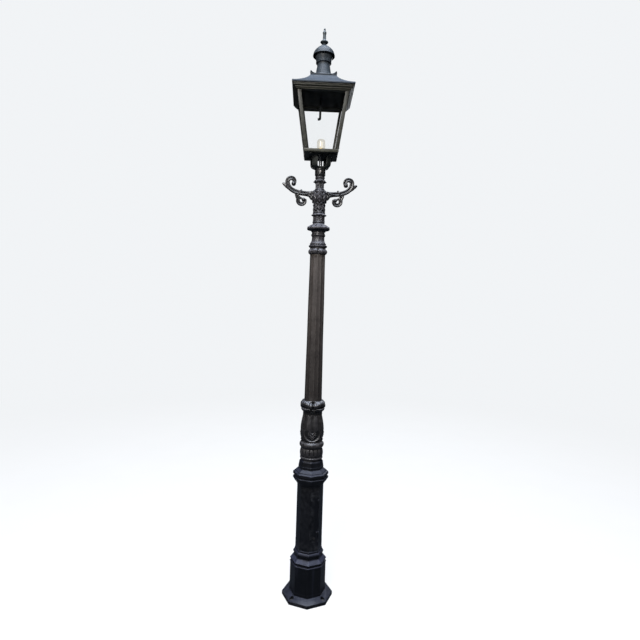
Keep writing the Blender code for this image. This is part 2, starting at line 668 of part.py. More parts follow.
def build_lantern_door():
    door = door_pane("lantern_door_frame", 0.0, -0.0006, 0.0054, "lantern")
    cut(door,
        door_pane("door_light_cutter", STILE, -0.020, 0.020, HELPER),
        door_pane("door_rebate_cutter", STILE - REBATE, 0.0024, 0.020, HELPER))
    for which, z in LANTERN_HINGES:
        join(door,
             along_hinge(f"lantern_knuckle_{which}", z, 0.0105, 0.0200, KNUCKLE_R),
             hinge_leaf(f"lantern_leaf_{which}", z, 0.0005, 0.0080, 0.0110))
        cut(door, along_hinge(f"lantern_pin_cutter_{which}", z, -0.004, 0.026, PIN_R + GAP))
    cut(door, cylinder("latch_cutter", LATCH_SPOT - OUT * 0.020, LATCH_SPOT + OUT * 0.010,
                       0.0034, HELPER, segments=12))
    glass = door_pane("lantern_door_glass", STILE - GLASS_LAP, 0.0027, 0.0054, "glass")
    for piece in (door, glass):
        set_origin(piece, on_hinge(2.890))


def add_bar_hinges(bar):
    """The fixed halves of the lantern door's hinges."""
    for which, z in LANTERN_HINGES:
        join(bar,
             along_hinge(f"bar_knuckle_{which}", z, 0.0, 0.0100, KNUCKLE_R),
             hinge_leaf(f"bar_leaf_{which}", z, -0.0100, -0.0012, 0.0010))
        cut(bar, along_hinge(f"bar_pin_cutter_{which}", z, -0.004, 0.026, PIN_R + GAP))


def build_lantern_hinge_pin():
    (_, lower_z), (_, upper_z) = LANTERN_HINGES
    cylinder("lantern_hinge_pin", on_hinge(lower_z) + LEAN * 0.0008,
             on_hinge(upper_z) + LEAN * 0.0212, PIN_R, "steel", segments=10)


def build_latch():
    latch = cylinder("lantern_door_latch", LATCH_SPOT - OUT * 0.0120, LATCH_SPOT + OUT * 0.0040,
                     0.0030, "brass", segments=12)
    knob = cylinder("latch_knob", LATCH_SPOT + OUT * 0.0016, LATCH_SPOT + OUT * 0.0090, 0.0070,
                    HELPER, segments=16, radius_end=0.0050)
    tongue = box("latch_tongue", (-0.0045, -0.0115, -0.0040), (0.0045, -0.0078, 0.0200), HELPER)
    lean = Matrix.Rotation(-math.atan(SLOPE), 4, "X")
    tongue.matrix_world = Matrix.Translation(LATCH_SPOT) @ lean
    join(latch, knob, tongue)
    set_origin(latch, LATCH_SPOT)


# ---------------------------------------------------------------- lantern top
EAVE_HALF, EAVE_Z = 0.185, 3.086
CROWN_Z = 3.180
CROWN_PLATE_HALF = 0.092
CEILING_HALF = 0.1305
TOP_Z = 3.502

# Outlines: half width, height
CORNICE = [
    (0.1790, EAVE_Z - GAP), (0.1790, 3.079), (0.1740, 3.076), (0.1740, 3.073), (0.1670, 3.070),
    (0.1660, 3.063), (0.1590, 3.060), (0.1570, HIGH_Z)]
ROOF = [
    (0.0870, CROWN_Z), (0.0900, 3.172), (0.0990, 3.160), (0.1160, 3.143), (0.1360, 3.127),
    (0.1590, 3.112), (EAVE_HALF, 3.101), (EAVE_HALF, EAVE_Z), (0.1800, EAVE_Z), (0.1800, 3.097),
    (0.1570, 3.107), (0.1330, 3.122), (0.1120, 3.138), (0.0940, 3.155), (0.0830, 3.172),
    (0.0810, CROWN_Z)]
# Outlines: radius, height
CHIMNEY_NECK = [
    (0.0470, 3.2900), (0.0470, 3.2780), (0.0415, 3.2740), (0.0415, 3.2240), (0.0440, 3.2080),
    (0.0530, 3.1955), (0.0560, 3.1903), (0.0390, 3.1903), (0.0385, 3.2900)]
DOME_CAP = [
    (0.0, 3.3990), (0.0124, 3.3965), (0.0260, 3.3860), (0.0400, 3.3755), (0.0540, 3.3620),
    (0.0635, 3.3480), (0.0680, 3.3340), (0.0680, 3.3270), (0.0645, 3.3270), (0.0600, 3.3440),
    (0.0500, 3.3570), (0.0360, 3.3690), (0.0200, 3.3800), (0.0, 3.3880)]
FINIAL = [
    (0.0, TOP_Z), (0.0022, 3.500), (0.0030, 3.486), (0.0090, 3.477), (0.0110, 3.470),
    (0.0080, 3.463), (0.0055, 3.458), (0.0085, 3.436), (0.0110, 3.428), (0.0190, 3.421),
    (0.0240, 3.415), (0.0190, 3.408), (0.0110, 3.403), (0.0110, 3.3995), (0.0, 3.3993)]


def build_roof():
    turned("lantern_cornice", CORNICE, "lantern", bore=0.1310, square=True)
    box("ceiling_plate", (-CEILING_HALF, -CEILING_HALF, 3.0700),
        (CEILING_HALF, CEILING_HALF, 3.0730), "lantern")
    turned("lantern_roof", ROOF, "roof", square=True)


def build_crown_plate():
    crown = box("crown_plate", (-CROWN_PLATE_HALF, -CROWN_PLATE_HALF, CROWN_Z + GAP),
                (CROWN_PLATE_HALF, CROWN_PLATE_HALF, 3.1900), "roof")
    cut(crown, cylinder("crown_hole_cutter", (0, 0, 3.170), (0, 0, 3.200), 0.036, HELPER,
                        segments=24))


def build_chimney():
    turned("chimney_neck", CHIMNEY_NECK, "roof")
    turned("chimney_tube", [(0.0450, 3.3560), (0.0450, 3.2903)], "roof", bore=0.0410)
    turned("dome_cap", DOME_CAP, "roof", solid=True)
    turned("finial", FINIAL, "roof", steps=16, solid=True)


# ---------------------------------------------------------------- inside the lantern
# Outlines: radius, height
LAMP_HOLDER = [
    (0.0200, 2.7560), (0.0240, 2.7500), (0.0240, 2.7320), (0.0300, 2.7240), (0.0300, 2.7166),
    (0.0112, 2.7166), (0.0112, 2.7324), (0.0080, 2.7340), (0.0080, 2.7560)]
LAMP_GLASS = [
    (0.0, 2.8180), (0.0120, 2.8165), (0.0210, 2.8120), (0.0260, 2.8040), (0.0270, 2.7940),
    (0.0270, 2.7604), (0.0255, 2.7563), (0.0210, 2.7563), (0.0235, 2.7620), (0.0245, 2.7660),
    (0.0245, 2.7930), (0.0230, 2.8020), (0.0180, 2.8090), (0.0100, 2.8138), (0.0, 2.8150)]
LAMP_ELEMENT = [
    (0.0, 2.8000), (0.0080, 2.7980), (0.0115, 2.7900), (0.0115, 2.7620), (0.0060, 2.7590),
    (0.0060, 2.7420), (0.0, 2.7420)]


def build_hanger_rod():
    rod("hanger_rod", [(-0.013, 0.0, 3.0697), (-0.013, 0.0, 2.960), (-0.013, 0.0, 2.937),
                       (-0.026, 0.0, 2.936)], 0.0055, "lantern")


def build_lamp():
    turned("lamp_holder", LAMP_HOLDER, "brass", steps=20)
    turned("lamp_glass", LAMP_GLASS, "glass", steps=20, solid=True)
    turned("lamp_element", LAMP_ELEMENT, "lamp", steps=16, solid=True)


# ---------------------------------------------------------------- the whole post, foot to finial
build_base_flange()
build_anchor_bolts()
turned("lower_pedestal", LOWER_PEDESTAL, steps=8)
build_upper_pedestal()
build_door_hinge_pins()
build_access_door()
build_door_lock()
turned("pedestal_cornice", PEDESTAL_CORNICE, steps=8)

build_cutout()
build_fuse_carrier()
build_cables()
build_earth_stud()

build_column_castings()
build_leaf_collar()
build_fluted_shaft()
build_spigot_collar()
build_scroll_arm("left", -1)
build_scroll_arm("right", 1)

build_lantern_frog()
build_riser_pipe()
build_base_frame()
build_tray()
build_corner_bar("front_left", -1, -1)
build_corner_bar("front_right", 1, -1)
build_corner_bar("back_right", 1, 1)
add_bar_hinges(build_corner_bar("back_left", -1, 1))
build_fixed_panes()
build_lantern_door()
build_lantern_hinge_pin()
build_latch()

build_roof()
build_crown_plate()
build_chimney()
build_hanger_rod()
build_lamp()
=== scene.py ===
"""The looks of a street lamp post: castings with leaf, petal and flute relief, two scroll arms, a
glazed square lantern, weathered paint with painted shade in hollows and painted sky light on
upward faces, a pale studio and the camera.

Metres, +Z up. The post stands on the origin. Its front faces the camera (-Y), left is -X, and the
lantern door faces +Y.
"""
import json
import math

import bmesh
import bpy
import numpy as np
from mathutils import Matrix, Vector


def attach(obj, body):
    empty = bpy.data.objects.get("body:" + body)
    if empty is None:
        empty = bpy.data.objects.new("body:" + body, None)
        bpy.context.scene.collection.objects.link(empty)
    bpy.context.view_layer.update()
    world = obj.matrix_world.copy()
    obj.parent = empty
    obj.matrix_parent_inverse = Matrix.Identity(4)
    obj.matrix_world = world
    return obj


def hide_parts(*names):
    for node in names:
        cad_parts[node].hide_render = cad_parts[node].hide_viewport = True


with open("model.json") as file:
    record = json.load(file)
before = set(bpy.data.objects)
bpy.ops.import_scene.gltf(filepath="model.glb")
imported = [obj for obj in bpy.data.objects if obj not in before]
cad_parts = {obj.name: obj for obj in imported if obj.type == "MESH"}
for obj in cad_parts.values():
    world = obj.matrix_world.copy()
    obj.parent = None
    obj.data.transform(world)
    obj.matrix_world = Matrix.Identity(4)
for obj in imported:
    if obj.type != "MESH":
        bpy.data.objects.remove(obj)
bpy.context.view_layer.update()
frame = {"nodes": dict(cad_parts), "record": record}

TAU = math.tau
QUARTER = math.pi / 4

BORE = 0.0262          # bore radius of the castings up to the neck
UPPER_BORE = 0.025     # bore radius of the arm boss and of what stands on it


# ============================================================ material nodes
class Nodes:
    """Adds and links nodes in the tree of a material or a world."""

    def __init__(self, owner, output="OutputMaterial"):
        owner.use_nodes = True
        self.owner = owner
        self.tree = owner.node_tree
        self.tree.nodes.clear()
        self.output = self.add(output)
        if output == "OutputMaterial":
            self.coord = self.add("TexCoord").outputs["Object"]

    def add(self, kind, **inputs):
        """A new node. An underscore in an input's name stands for a space."""
        node = self.tree.nodes.new("ShaderNode" + kind)
        for key, value in inputs.items():
            self.put(node, key.replace("_", " "), value)
        return node

    def make(self, kind, **inputs):
        """The first output of a new node."""
        return self.add(kind, **inputs).outputs[0]

    def put(self, node, key, value):
        socket = node.inputs[key]
        if isinstance(value, bpy.types.NodeSocket):
            self.tree.links.new(value, socket)
        else:
            socket.default_value = (*value, 1.0) if socket.type == "RGBA" else value

    def mapped(self, scale=(1, 1, 1), shift=(0, 0, 0)):
        return self.make("Mapping", Vector=self.coord, Scale=scale, Location=shift)

    def noise(self, scale, detail=4.0, rough=0.55, vector=None, distortion=0.0):
        return self.make("TexNoise", Vector=vector or self.coord, Scale=scale, Detail=detail,
                         Roughness=rough, Distortion=distortion)

    def ramp(self, value, over, to=(0.0, 1.0)):
        """Maps the range over to the range to, clamped."""
        return self.make("MapRange", Value=value, From_Min=over[0], From_Max=over[1],
                         To_Min=to[0], To_Max=to[1])

    def math(self, operation, first, second, clamp=False):
        node = self.add("Math")
        node.operation = operation
        node.use_clamp = clamp
        self.put(node, 0, first)
        self.put(node, 1, second)
        return node.outputs[0]

    def times(self, first, second, clamp=False):
        return self.math("MULTIPLY", first, second, clamp)

    def plus(self, first, second, clamp=False):
        return self.math("ADD", first, second, clamp)

    def mix(self, factor, first, second):
        """Mixes two colours."""
        node = self.add("Mix")
        node.data_type = "RGBA"
        for index, value in ((0, factor), (6, first), (7, second)):
            self.put(node, index, value)
        return node.outputs[2]

    def blend(self, factor, first, second):
        """Mixes two shaders."""
        node = self.add("MixShader")
        for index, value in enumerate((factor, first, second)):
            self.put(node, index, value)
        return node.outputs[0]

    def done(self, shader):
        self.put(self.output, "Surface", shader)
        return self.owner


def new_material(name):
    return Nodes(bpy.data.materials.new(name))


def shade(colour, factor):
    return tuple(c * factor for c in colour)


# ============================================================ material kinds
def painted_iron(name, dark, light, dust, rough, wear, streak, top_dust_and_sky_light, coat, lump=0.35,
                 rust=0.0, scale=1.0, spec=0.5, hollow_shade_amount=0.85, reach=0.012, fade=None, bump=0.45):
    """Old paint on a casting: mottled tone, rain streaks, dust and painted sky light on upward
    faces, painted shade in hollows, paint rubbed thin along the edges. reach is how far the
    painted shade in hollows reaches; fade is (dark below, clear above, amount) in height."""
    nodes = new_material(name)
    broad = nodes.noise(scale=9 * scale, detail=5, rough=0.6)
    mottle = nodes.noise(scale=45 * scale, detail=6, rough=0.65, distortion=0.4)
    sand = nodes.noise(scale=420 * scale, detail=3, rough=0.6)
    tone = nodes.plus(nodes.times(broad, 0.5), nodes.times(mottle, 0.5))
    colour = nodes.mix(nodes.ramp(tone, over=(0.36, 0.66)), dark, light)

    # rain streaks, first dark and then dusty, drawn out along Z
    streaks = nodes.noise(scale=34, detail=5, rough=0.6, vector=nodes.mapped(scale=(1, 1, 0.055)))
    amount = nodes.ramp(streaks, over=(0.52, 0.74), to=(0.0, streak))
    colour = nodes.mix(amount, colour, shade(dark, 0.42))
    shifted = nodes.mapped(scale=(1, 1, 0.07), shift=(3.1, 1.7, 0.4))
    streaks = nodes.noise(scale=27, detail=4, rough=0.6, vector=shifted)
    amount = nodes.ramp(streaks, over=(0.58, 0.80), to=(0.0, streak * 0.7))
    colour = nodes.mix(amount, colour, dust)

    # dust, and painted sky light, on faces that look up
    surface = nodes.add("NewGeometry")
    normal = nodes.add("SeparateXYZ", Vector=surface.outputs["Normal"])
    top_dust_and_sky_light_mask = nodes.times(nodes.ramp(normal.outputs["Z"], over=(0.15, 0.9)),
                          nodes.ramp(mottle, over=(0.30, 0.62), to=(0.35, 1.0)))
    colour = nodes.mix(nodes.times(top_dust_and_sky_light_mask, top_dust_and_sky_light), colour, dust)

    # painted shade: the colour darkens in hollows, where ambient occlusion finds surfaces within
    # reach
    occlusion = nodes.add("AmbientOcclusion", Distance=reach)
    occlusion.samples = 4
    hollow_shade = nodes.ramp(occlusion.outputs["AO"], over=(0.40, 0.90), to=(1.0, 0.0))
    if fade:
        level = nodes.add("SeparateXYZ", Vector=nodes.coord).outputs["Z"]
        amount = nodes.ramp(level, over=fade[:2], to=(fade[2], 0.0))
        colour = nodes.mix(amount, colour, shade(dark, 0.35))
    # the painted shade in hollows is mixed in here
    colour = nodes.mix(nodes.times(hollow_shade, hollow_shade_amount), colour, shade(dark, 0.12))

    # edges rubbed to a lighter tone
    edge = nodes.ramp(surface.outputs["Pointiness"], over=(0.508, 0.56))
    rubbed = nodes.times(edge, nodes.ramp(mottle, over=(0.42, 0.62)))
    worn = tuple(min(1.0, c * 1.7 + 0.02) for c in light)
    colour = nodes.mix(nodes.times(rubbed, wear), colour, worn)
    if rust:
        shifted = nodes.mapped(scale=(1, 1, 0.6), shift=(5, 2, 1))
        spots = nodes.noise(scale=70, detail=6, rough=0.7, vector=shifted)
        spots = nodes.times(nodes.ramp(spots, over=(0.63, 0.72)), rust)
        colour = nodes.mix(spots, colour, (0.095, 0.040, 0.018))

    # painted shade from the relief, kept on the mesh: darker in its hollows and under its
    # overhangs
    painted_shade = nodes.add("Attribute")
    painted_shade.attribute_name = "painted_shade"
    relief_shade = nodes.times(painted_shade.outputs["Fac"], 0.90, clamp=True)
    colour = nodes.mix(relief_shade, colour, shade(dark, 0.10))

    grain = nodes.plus(nodes.times(mottle, 0.6), nodes.times(sand, 0.4))
    roughness = nodes.ramp(grain, over=(0.3, 0.7), to=rough)
    roughness = nodes.plus(roughness, nodes.times(top_dust_and_sky_light_mask, 0.18), clamp=True)
    brush = nodes.noise(scale=150, detail=3, rough=0.5)
    height = nodes.plus(nodes.times(mottle, lump),
                        nodes.plus(nodes.times(sand, 0.10), nodes.times(brush, 0.16)))
    relief = nodes.make("Bump", Strength=bump, Distance=0.0012, Height=height)
    return nodes.done(nodes.make(
        "BsdfPrincipled", Base_Color=colour, Roughness=roughness, Normal=relief,
        Specular_IOR_Level=spec, Coat_Weight=coat, Coat_Roughness=0.22))


def bare_metal(name, colour, dark, rough):
    """Zinc, brass or steel: a metal with stains and a fine grain."""
    nodes = new_material(name)
    stains = nodes.noise(scale=60, detail=6, rough=0.65)
    grain = nodes.noise(scale=500, detail=3, rough=0.6)
    base = nodes.mix(nodes.ramp(stains, over=(0.40, 0.65), to=(0.0, 0.6)), colour, dark)
    relief = nodes.make("Bump", Strength=0.2, Distance=0.0005, Height=grain)
    roughness = nodes.ramp(stains, over=(0.35, 0.65), to=rough)
    return nodes.done(nodes.make("BsdfPrincipled", Metallic=1.0, Base_Color=base,
                                 Roughness=roughness, Normal=relief))


def plain_stuff(name, colour, other, rough, scale=120):
    """Rubber, moulded plastic or board: mottled colour with a fine grain."""
    nodes = new_material(name)
    grain = nodes.noise(scale=scale, detail=5, rough=0.6, vector=nodes.mapped(scale=(1, 1, 0.15)))
    relief = nodes.make("Bump", Strength=0.2, Distance=0.0004, Height=grain)
    base = nodes.mix(nodes.ramp(grain, over=(0.35, 0.65)), colour, other)
    return nodes.done(nodes.make("BsdfPrincipled", Roughness=rough, Base_Color=base,
                                 Normal=relief))


def pane_glass(name, tint, haze, milky=0.0, shine=0.85):
    """Old drawn glass: almost clear, mirror-like at a glancing angle, with patches of dust."""
    nodes = new_material(name)
    wave = nodes.noise(scale=14, detail=2, rough=0.5)
    dirt = nodes.noise(scale=38, detail=6, rough=0.7, vector=nodes.mapped(scale=(1, 1, 0.35)))
    relief = nodes.make("Bump", Strength=0.06, Distance=0.002, Height=wave)
    clear = nodes.make("BsdfTransparent", Color=tint)
    gloss = nodes.make("BsdfGlossy", Roughness=0.04, Normal=relief)
    dust = nodes.make("BsdfDiffuse", Color=(0.62, 0.66, 0.64))
    fresnel = nodes.make("Fresnel", IOR=1.45, Normal=relief)
    shader = nodes.blend(nodes.times(fresnel, shine), clear, gloss)
    shader = nodes.blend(nodes.ramp(dirt, over=(0.45, 0.80), to=(0.0, haze)), shader, dust)
    if milky:   # a frosted coat that glows a little, as if lit from behind
        frost = nodes.make("Emission", Color=(0.93, 0.90, 0.84), Strength=0.85)
        amount = nodes.ramp(nodes.noise(scale=55, detail=4, rough=0.6), over=(0.3, 0.7),
                            to=(milky * 0.8, milky * 1.2))
        shader = nodes.blend(amount, shader, frost)
    return nodes.done(shader)


def lamp_stuff(name, colour, glow):
    """The pale glowing ceramic inside the lamp glass."""
    nodes = new_material(name)
    grain = nodes.noise(scale=90, detail=4, rough=0.6)
    base = nodes.mix(nodes.ramp(grain, over=(0.3, 0.7)), colour, shade(colour, 0.8))
    return nodes.done(nodes.make("BsdfPrincipled", Roughness=0.35, Base_Color=base,
                                 Emission_Color=colour, Emission_Strength=glow))


# ============================================================ the materials
# Thin sheet metal: smoother, duller and on a broader pattern than the castings.
SHEET = dict(lump=0.08, spec=0.28, bump=0.10, scale=0.5)

# Columns: dark, light and dust colour (also painted sky light on upward faces); then roughness
# range, edge wear, streaks, amount of dust and painted sky light, clear coat and what differs from
# painted_iron's defaults.
PAINTS = {
    "pedestal": ((0.002, 0.0023, 0.0034), (0.0044, 0.0049, 0.007), (0.062, 0.067, 0.108),
                 (0.26, 0.46), 0.95, 0.35, 0.72, 0.20, dict(spec=0.32)),
    "cornice": ((0.0022, 0.0026, 0.0038), (0.0066, 0.0072, 0.0098), (0.041, 0.044, 0.068),
                (0.30, 0.50), 1.0, 0.35, 0.70, 0.15, dict(spec=0.30)),
    "flange": ((0.0022, 0.0026, 0.0038), (0.0058, 0.0064, 0.009), (0.029, 0.032, 0.055),
               (0.34, 0.52), 0.90, 0.35, 0.70, 0.12, dict(spec=0.28)),
    "vase": ((0.013, 0.0122, 0.0132), (0.046, 0.0425, 0.0425), (0.16, 0.155, 0.165),
             (0.28, 0.44), 0.90, 0.35, 0.80, 0.28, dict(reach=0.010)),
    "turned": ((0.0075, 0.0075, 0.009), (0.027, 0.0255, 0.0265), (0.15, 0.15, 0.165),
               (0.26, 0.42), 0.90, 0.30, 0.80, 0.30, dict(reach=0.010)),
    "shaft": ((0.042, 0.034, 0.0295), (0.092, 0.076, 0.066), (0.15, 0.132, 0.118),
              (0.38, 0.58), 0.45, 0.75, 0.35, 0.08, dict(rust=0.25, fade=(1.20, 2.05, 0.86))),
    "capital": ((0.026, 0.0245, 0.027), (0.082, 0.077, 0.084), (0.21, 0.202, 0.228),
                (0.34, 0.52), 0.85, 0.25, 0.52, 0.12, dict(reach=0.014, hollow_shade_amount=0.97)),
    "arm": ((0.005, 0.005, 0.0056), (0.017, 0.0166, 0.0178), (0.08, 0.08, 0.088),
            (0.28, 0.44), 0.80, 0.2, 0.80, 0.22, dict(hollow_shade_amount=0.95)),
    "lantern": ((0.033, 0.0325, 0.0215), (0.07, 0.069, 0.051), (0.12, 0.118, 0.092),
                (0.36, 0.56), 0.35, 0.5, 0.35, 0.08, dict(lump=0.12, bump=0.25)),
    "bars": ((0.02, 0.0195, 0.0135), (0.043, 0.0425, 0.032), (0.08, 0.078, 0.062),
             (0.40, 0.60), 0.35, 0.45, 0.30, 0.04, dict(lump=0.12, spec=0.4)),
    "bolt": ((0.006, 0.006, 0.0075), (0.02, 0.018, 0.018), (0.07, 0.066, 0.07),
             (0.40, 0.60), 0.50, 0.2, 0.35, 0.05, dict(rust=0.5, spec=0.4)),
    "underside": ((0.01, 0.013, 0.012), (0.026, 0.031, 0.027), (0.06, 0.066, 0.054),
                  (0.45, 0.65), 0.3, 0.2, 0.3, 0.05, dict(lump=0.2)),
    "roof": ((0.0084, 0.0124, 0.0178), (0.02, 0.0285, 0.04), (0.044, 0.06, 0.084),
             (0.42, 0.56), 0.15, 0.25, 0.30, 0.0, dict(SHEET, spec=0.22)),
    "dome": ((0.0118, 0.015, 0.0178), (0.029, 0.0352, 0.0408), (0.058, 0.07, 0.08),
             (0.40, 0.54), 0.20, 0.30, 0.25, 0.0, SHEET),
    "chimney": ((0.023, 0.0285, 0.0345), (0.054, 0.065, 0.076), (0.092, 0.11, 0.128),
                (0.40, 0.54), 0.20, 0.30, 0.25, 0.0, SHEET),
    "finial": ((0.021, 0.028, 0.03), (0.06, 0.074, 0.078), (0.13, 0.145, 0.152),
               (0.36, 0.54), 0.40, 0.3, 0.4, 0.05, dict(lump=0.12, spec=0.4)),
    "inside": ((0.002, 0.0032, 0.0038), (0.006, 0.008, 0.0086), (0.012, 0.014, 0.014),
               (0.55, 0.75), 0.1, 0.2, 0.2, 0.0, dict(lump=0.1, spec=0.2)),
}
MATERIALS = {key: painted_iron("paint_" + key, *look, **extra)
             for key, (*look, extra) in PAINTS.items()}
MATERIALS.update({
    "steel": bare_metal("dull_steel", colour=(0.36, 0.35, 0.34), dark=(0.16, 0.12, 0.09),
                        rough=(0.35, 0.6)),
    "zinc": bare_metal("galvanised", colour=(0.50, 0.52, 0.54), dark=(0.30, 0.31, 0.32),
                       rough=(0.4, 0.6)),
    "bronze": painted_iron("old_bronze", dark=(0.02, 0.017, 0.01), light=(0.048, 0.039, 0.022),
                           dust=(0.1, 0.085, 0.055), rough=(0.35, 0.5), wear=0.6, streak=0.2,
                           top_dust_and_sky_light=0.2, lump=0.1, coat=0.1),
    "brass": bare_metal("dull_brass", colour=(0.52, 0.38, 0.17), dark=(0.22, 0.15, 0.07),
                        rough=(0.3, 0.5)),
    "rubber": plain_stuff("cable_sheath", colour=(0.014, 0.014, 0.015),
                          other=(0.028, 0.028, 0.030), rough=0.62),
    "plastic": plain_stuff("moulded_black", colour=(0.020, 0.020, 0.022),
                           other=(0.036, 0.036, 0.040), rough=0.42, scale=300),
    "board": plain_stuff("service_board", colour=(0.26, 0.16, 0.085), other=(0.34, 0.23, 0.13),
                         rough=0.5, scale=60),
    "glass": pane_glass("lantern_glass", tint=(0.996, 0.998, 0.998), haze=0.008, shine=0.25),
    "lamp_glass": pane_glass("lamp_glass", tint=(0.97, 0.96, 0.92), haze=0.55, milky=0.42),
    "lamp": lamp_stuff("lamp_ceramic", colour=(0.92, 0.86, 0.72), glow=0.85),
})


# ============================================================ lines and profiles
def fillet(points, radius=0.0010, count=3, closed=True):
    """Rounds the corners of a profile. A point may carry its own radius as a third number."""
    total = len(points)
    out = []
    for i, point in enumerate(points):
        corner = np.array(point[:2], float)
        if not closed and i in (0, total - 1):
            out.append(corner)
            continue
        before = np.array(points[i - 1][:2], float)
        after = np.array(points[(i + 1) % total][:2], float)
        back_length, on_length = np.linalg.norm(before - corner), np.linalg.norm(after - corner)
        back, onward = (before - corner) / back_length, (after - corner) / on_length
        want = point[2] if len(point) > 2 else radius
        turn = math.acos(float(np.clip(-back @ onward, -1, 1)))
        cut = min(want * math.tan(turn / 2) + want * 0.25, 0.42 * back_length, 0.42 * on_length)
        if turn < math.radians(4) or cut < 1e-6:
            out.append(corner)
            continue
        start, end = corner + back * cut, corner + onward * cut
        # an extra point on each long flat holds the shading off it
        if back_length > 5 * cut:
            out.append(corner + back * cut * 1.8)
        for k in range(count + 1):
            s = k / count
            out.append((1 - s) ** 2 * start + 2 * s * (1 - s) * corner + s * s * end)
        if on_length > 5 * cut:
            out.append(corner + onward * cut * 1.8)
    return np.array(out)


def curve_through(points, per=6):
    """A smooth open line through points (Catmull-Rom), per pieces to each stretch."""
    pts = np.array(points, float)
    out = []
    for i in range(len(pts) - 1):
        p1, p2 = pts[i], pts[i + 1]
        p0 = pts[i - 1] if i else 2 * p1 - p2
        p3 = pts[i + 2] if i + 2 < len(pts) else 2 * p2 - p1
        for k in range(per):
            t = k / per
            out.append(0.5 * (2 * p1 + (p2 - p0) * t + (2 * p0 - 5 * p1 + 4 * p2 - p3) * t * t
                              + (3 * p1 - p0 - 3 * p2 + p3) * t ** 3))
    out.append(pts[-1])
    return np.array(out)


def dense(points, step, closed=True):
    """Adds points so that no stretch of the line is longer than step."""
    out = []
    total = len(points)
    for i in range(total if closed else total - 1):
        start, end = points[i], points[(i + 1) % total]
        pieces = max(1, int(math.ceil(np.linalg.norm(end - start) / step)))
        for k in range(pieces):
            out.append(start + (end - start) * k / pieces)
    if not closed:
        out.append(points[-1])
    return np.array(out)


def bored(outer, step=0.0012, bore=BORE, per=0, low=None):
    """A hollow casting's profile: outer points from top to bottom, then the bore. The outer line
    is filleted, or with per a smooth curve. low is the bore's lower end if not the line's."""
    line = curve_through(outer, per) if per else fillet(outer, 0.0008, closed=False)
    line = dense(line, step, closed=False)
    return np.vstack([line, [(bore, low or line[-1, 1])], [(bore, line[0, 1])]])


def spiral(centre, turn, radii, count=40):
    """Points of a spiral, between two angles in degrees and two radii."""
    share = np.linspace(0, 1, count)
    angle = np.radians(turn[0] + (turn[1] - turn[0]) * share)
    radius = radii[0] + (radii[1] - radii[0]) * share
    return np.column_stack([centre[0] + radius * np.cos(angle),
                            centre[1] + radius * np.sin(angle)])


def stations(line, shares, values):
    """A value for each point of a line, from values at shares of its point count."""
    return np.interp(np.linspace(0, 1, len(line)), shares, values)


# ============================================================ solids
def solid(name, points, faces, tris=()):
    """A mesh object from quads (an array) and triangles, turned so that they face out."""
    p0, p1, p2, p3 = (points[faces[:, k]] for k in range(4))
    volume = float((np.einsum("ij,ij->i", p0, np.cross(p1, p2))
                    + np.einsum("ij,ij->i", p0, np.cross(p2, p3))).sum())
    if volume < 0:
        faces = faces[:, ::-1]
        tris = [tuple(reversed(tri)) for tri in tris]
    mesh = bpy.data.meshes.new(name)
    mesh.vertices.add(len(points))
    mesh.vertices.foreach_set("co", np.asarray(points, np.float32).ravel())
    sizes = np.concatenate([np.full(len(faces), 4), np.full(len(tris), 3)]).astype(np.int32)
    loops = np.concatenate([faces.ravel(), np.array(tris, int).ravel()]).astype(np.int32)
    mesh.loops.add(len(loops))
    mesh.loops.foreach_set("vertex_index", loops)
    mesh.polygons.add(len(sizes))
    starts = np.concatenate([[0], np.cumsum(sizes)[:-1]]).astype(np.int32)
    mesh.polygons.foreach_set("loop_start", starts)
    mesh.update(calc_edges=True)
    mesh.validate()
    return bpy.data.objects.new(name, mesh)


def grid_object(name, grid, poles=False):
    """An object from rows x cols x 3 points. Columns close on themselves, and so do rows; with
    poles the first and last rows close on a middle point instead."""
    rows, cols, _ = grid.shape
    points = grid.reshape(-1, 3)
    i, j = np.meshgrid(np.arange(rows - 1 if poles else rows), np.arange(cols), indexing="ij")
    after, below = (j + 1) % cols, (i + 1) % rows * cols
    faces = np.stack([i * cols + j, i * cols + after, below + after, below + j], axis=-1)
    tris = []
    if poles:
        top = len(points)
        points = np.vstack([points, grid[0].mean(axis=0), grid[-1].mean(axis=0)])
        last = (rows - 1) * cols
        tris = [(top, (j + 1) % cols, j) for j in range(cols)]
        tris += [(top + 1, last + j, last + (j + 1) % cols) for j in range(cols)]
    return solid(name, points, faces.reshape(-1, 4), tris)


def heading(angle):
    return np.array([math.cos(angle), math.sin(angle)])


def section(sides, radius, rounding, arc):
    """Points of a polygon with rounded corners; radius is to the sharp corner. An octagon has a
    corner at -Y, a square has its flats on the axes."""
    half = math.pi / sides
    rounding = min(rounding, radius * 0.25)
    inner = (radius * math.cos(half) - rounding) / math.cos(half)
    reach = min(rounding * 0.9, inner * math.sin(half) * 0.4)
    first = -QUARTER if sides == 4 else -math.pi / 2
    out = []
    for k in range(sides):
        corner = first + TAU * k / sides
        centre = inner * heading(corner)
        for sign in (-1, 1):
            end = corner + sign * half
            along = heading(end + math.pi / 2) * sign
            out.append(centre + rounding * heading(end) + along * reach)
            if sign < 0:
                out.extend(centre + rounding * heading(corner + turn)
                           for turn in np.linspace(-half, half, arc))
    return np.array(out)


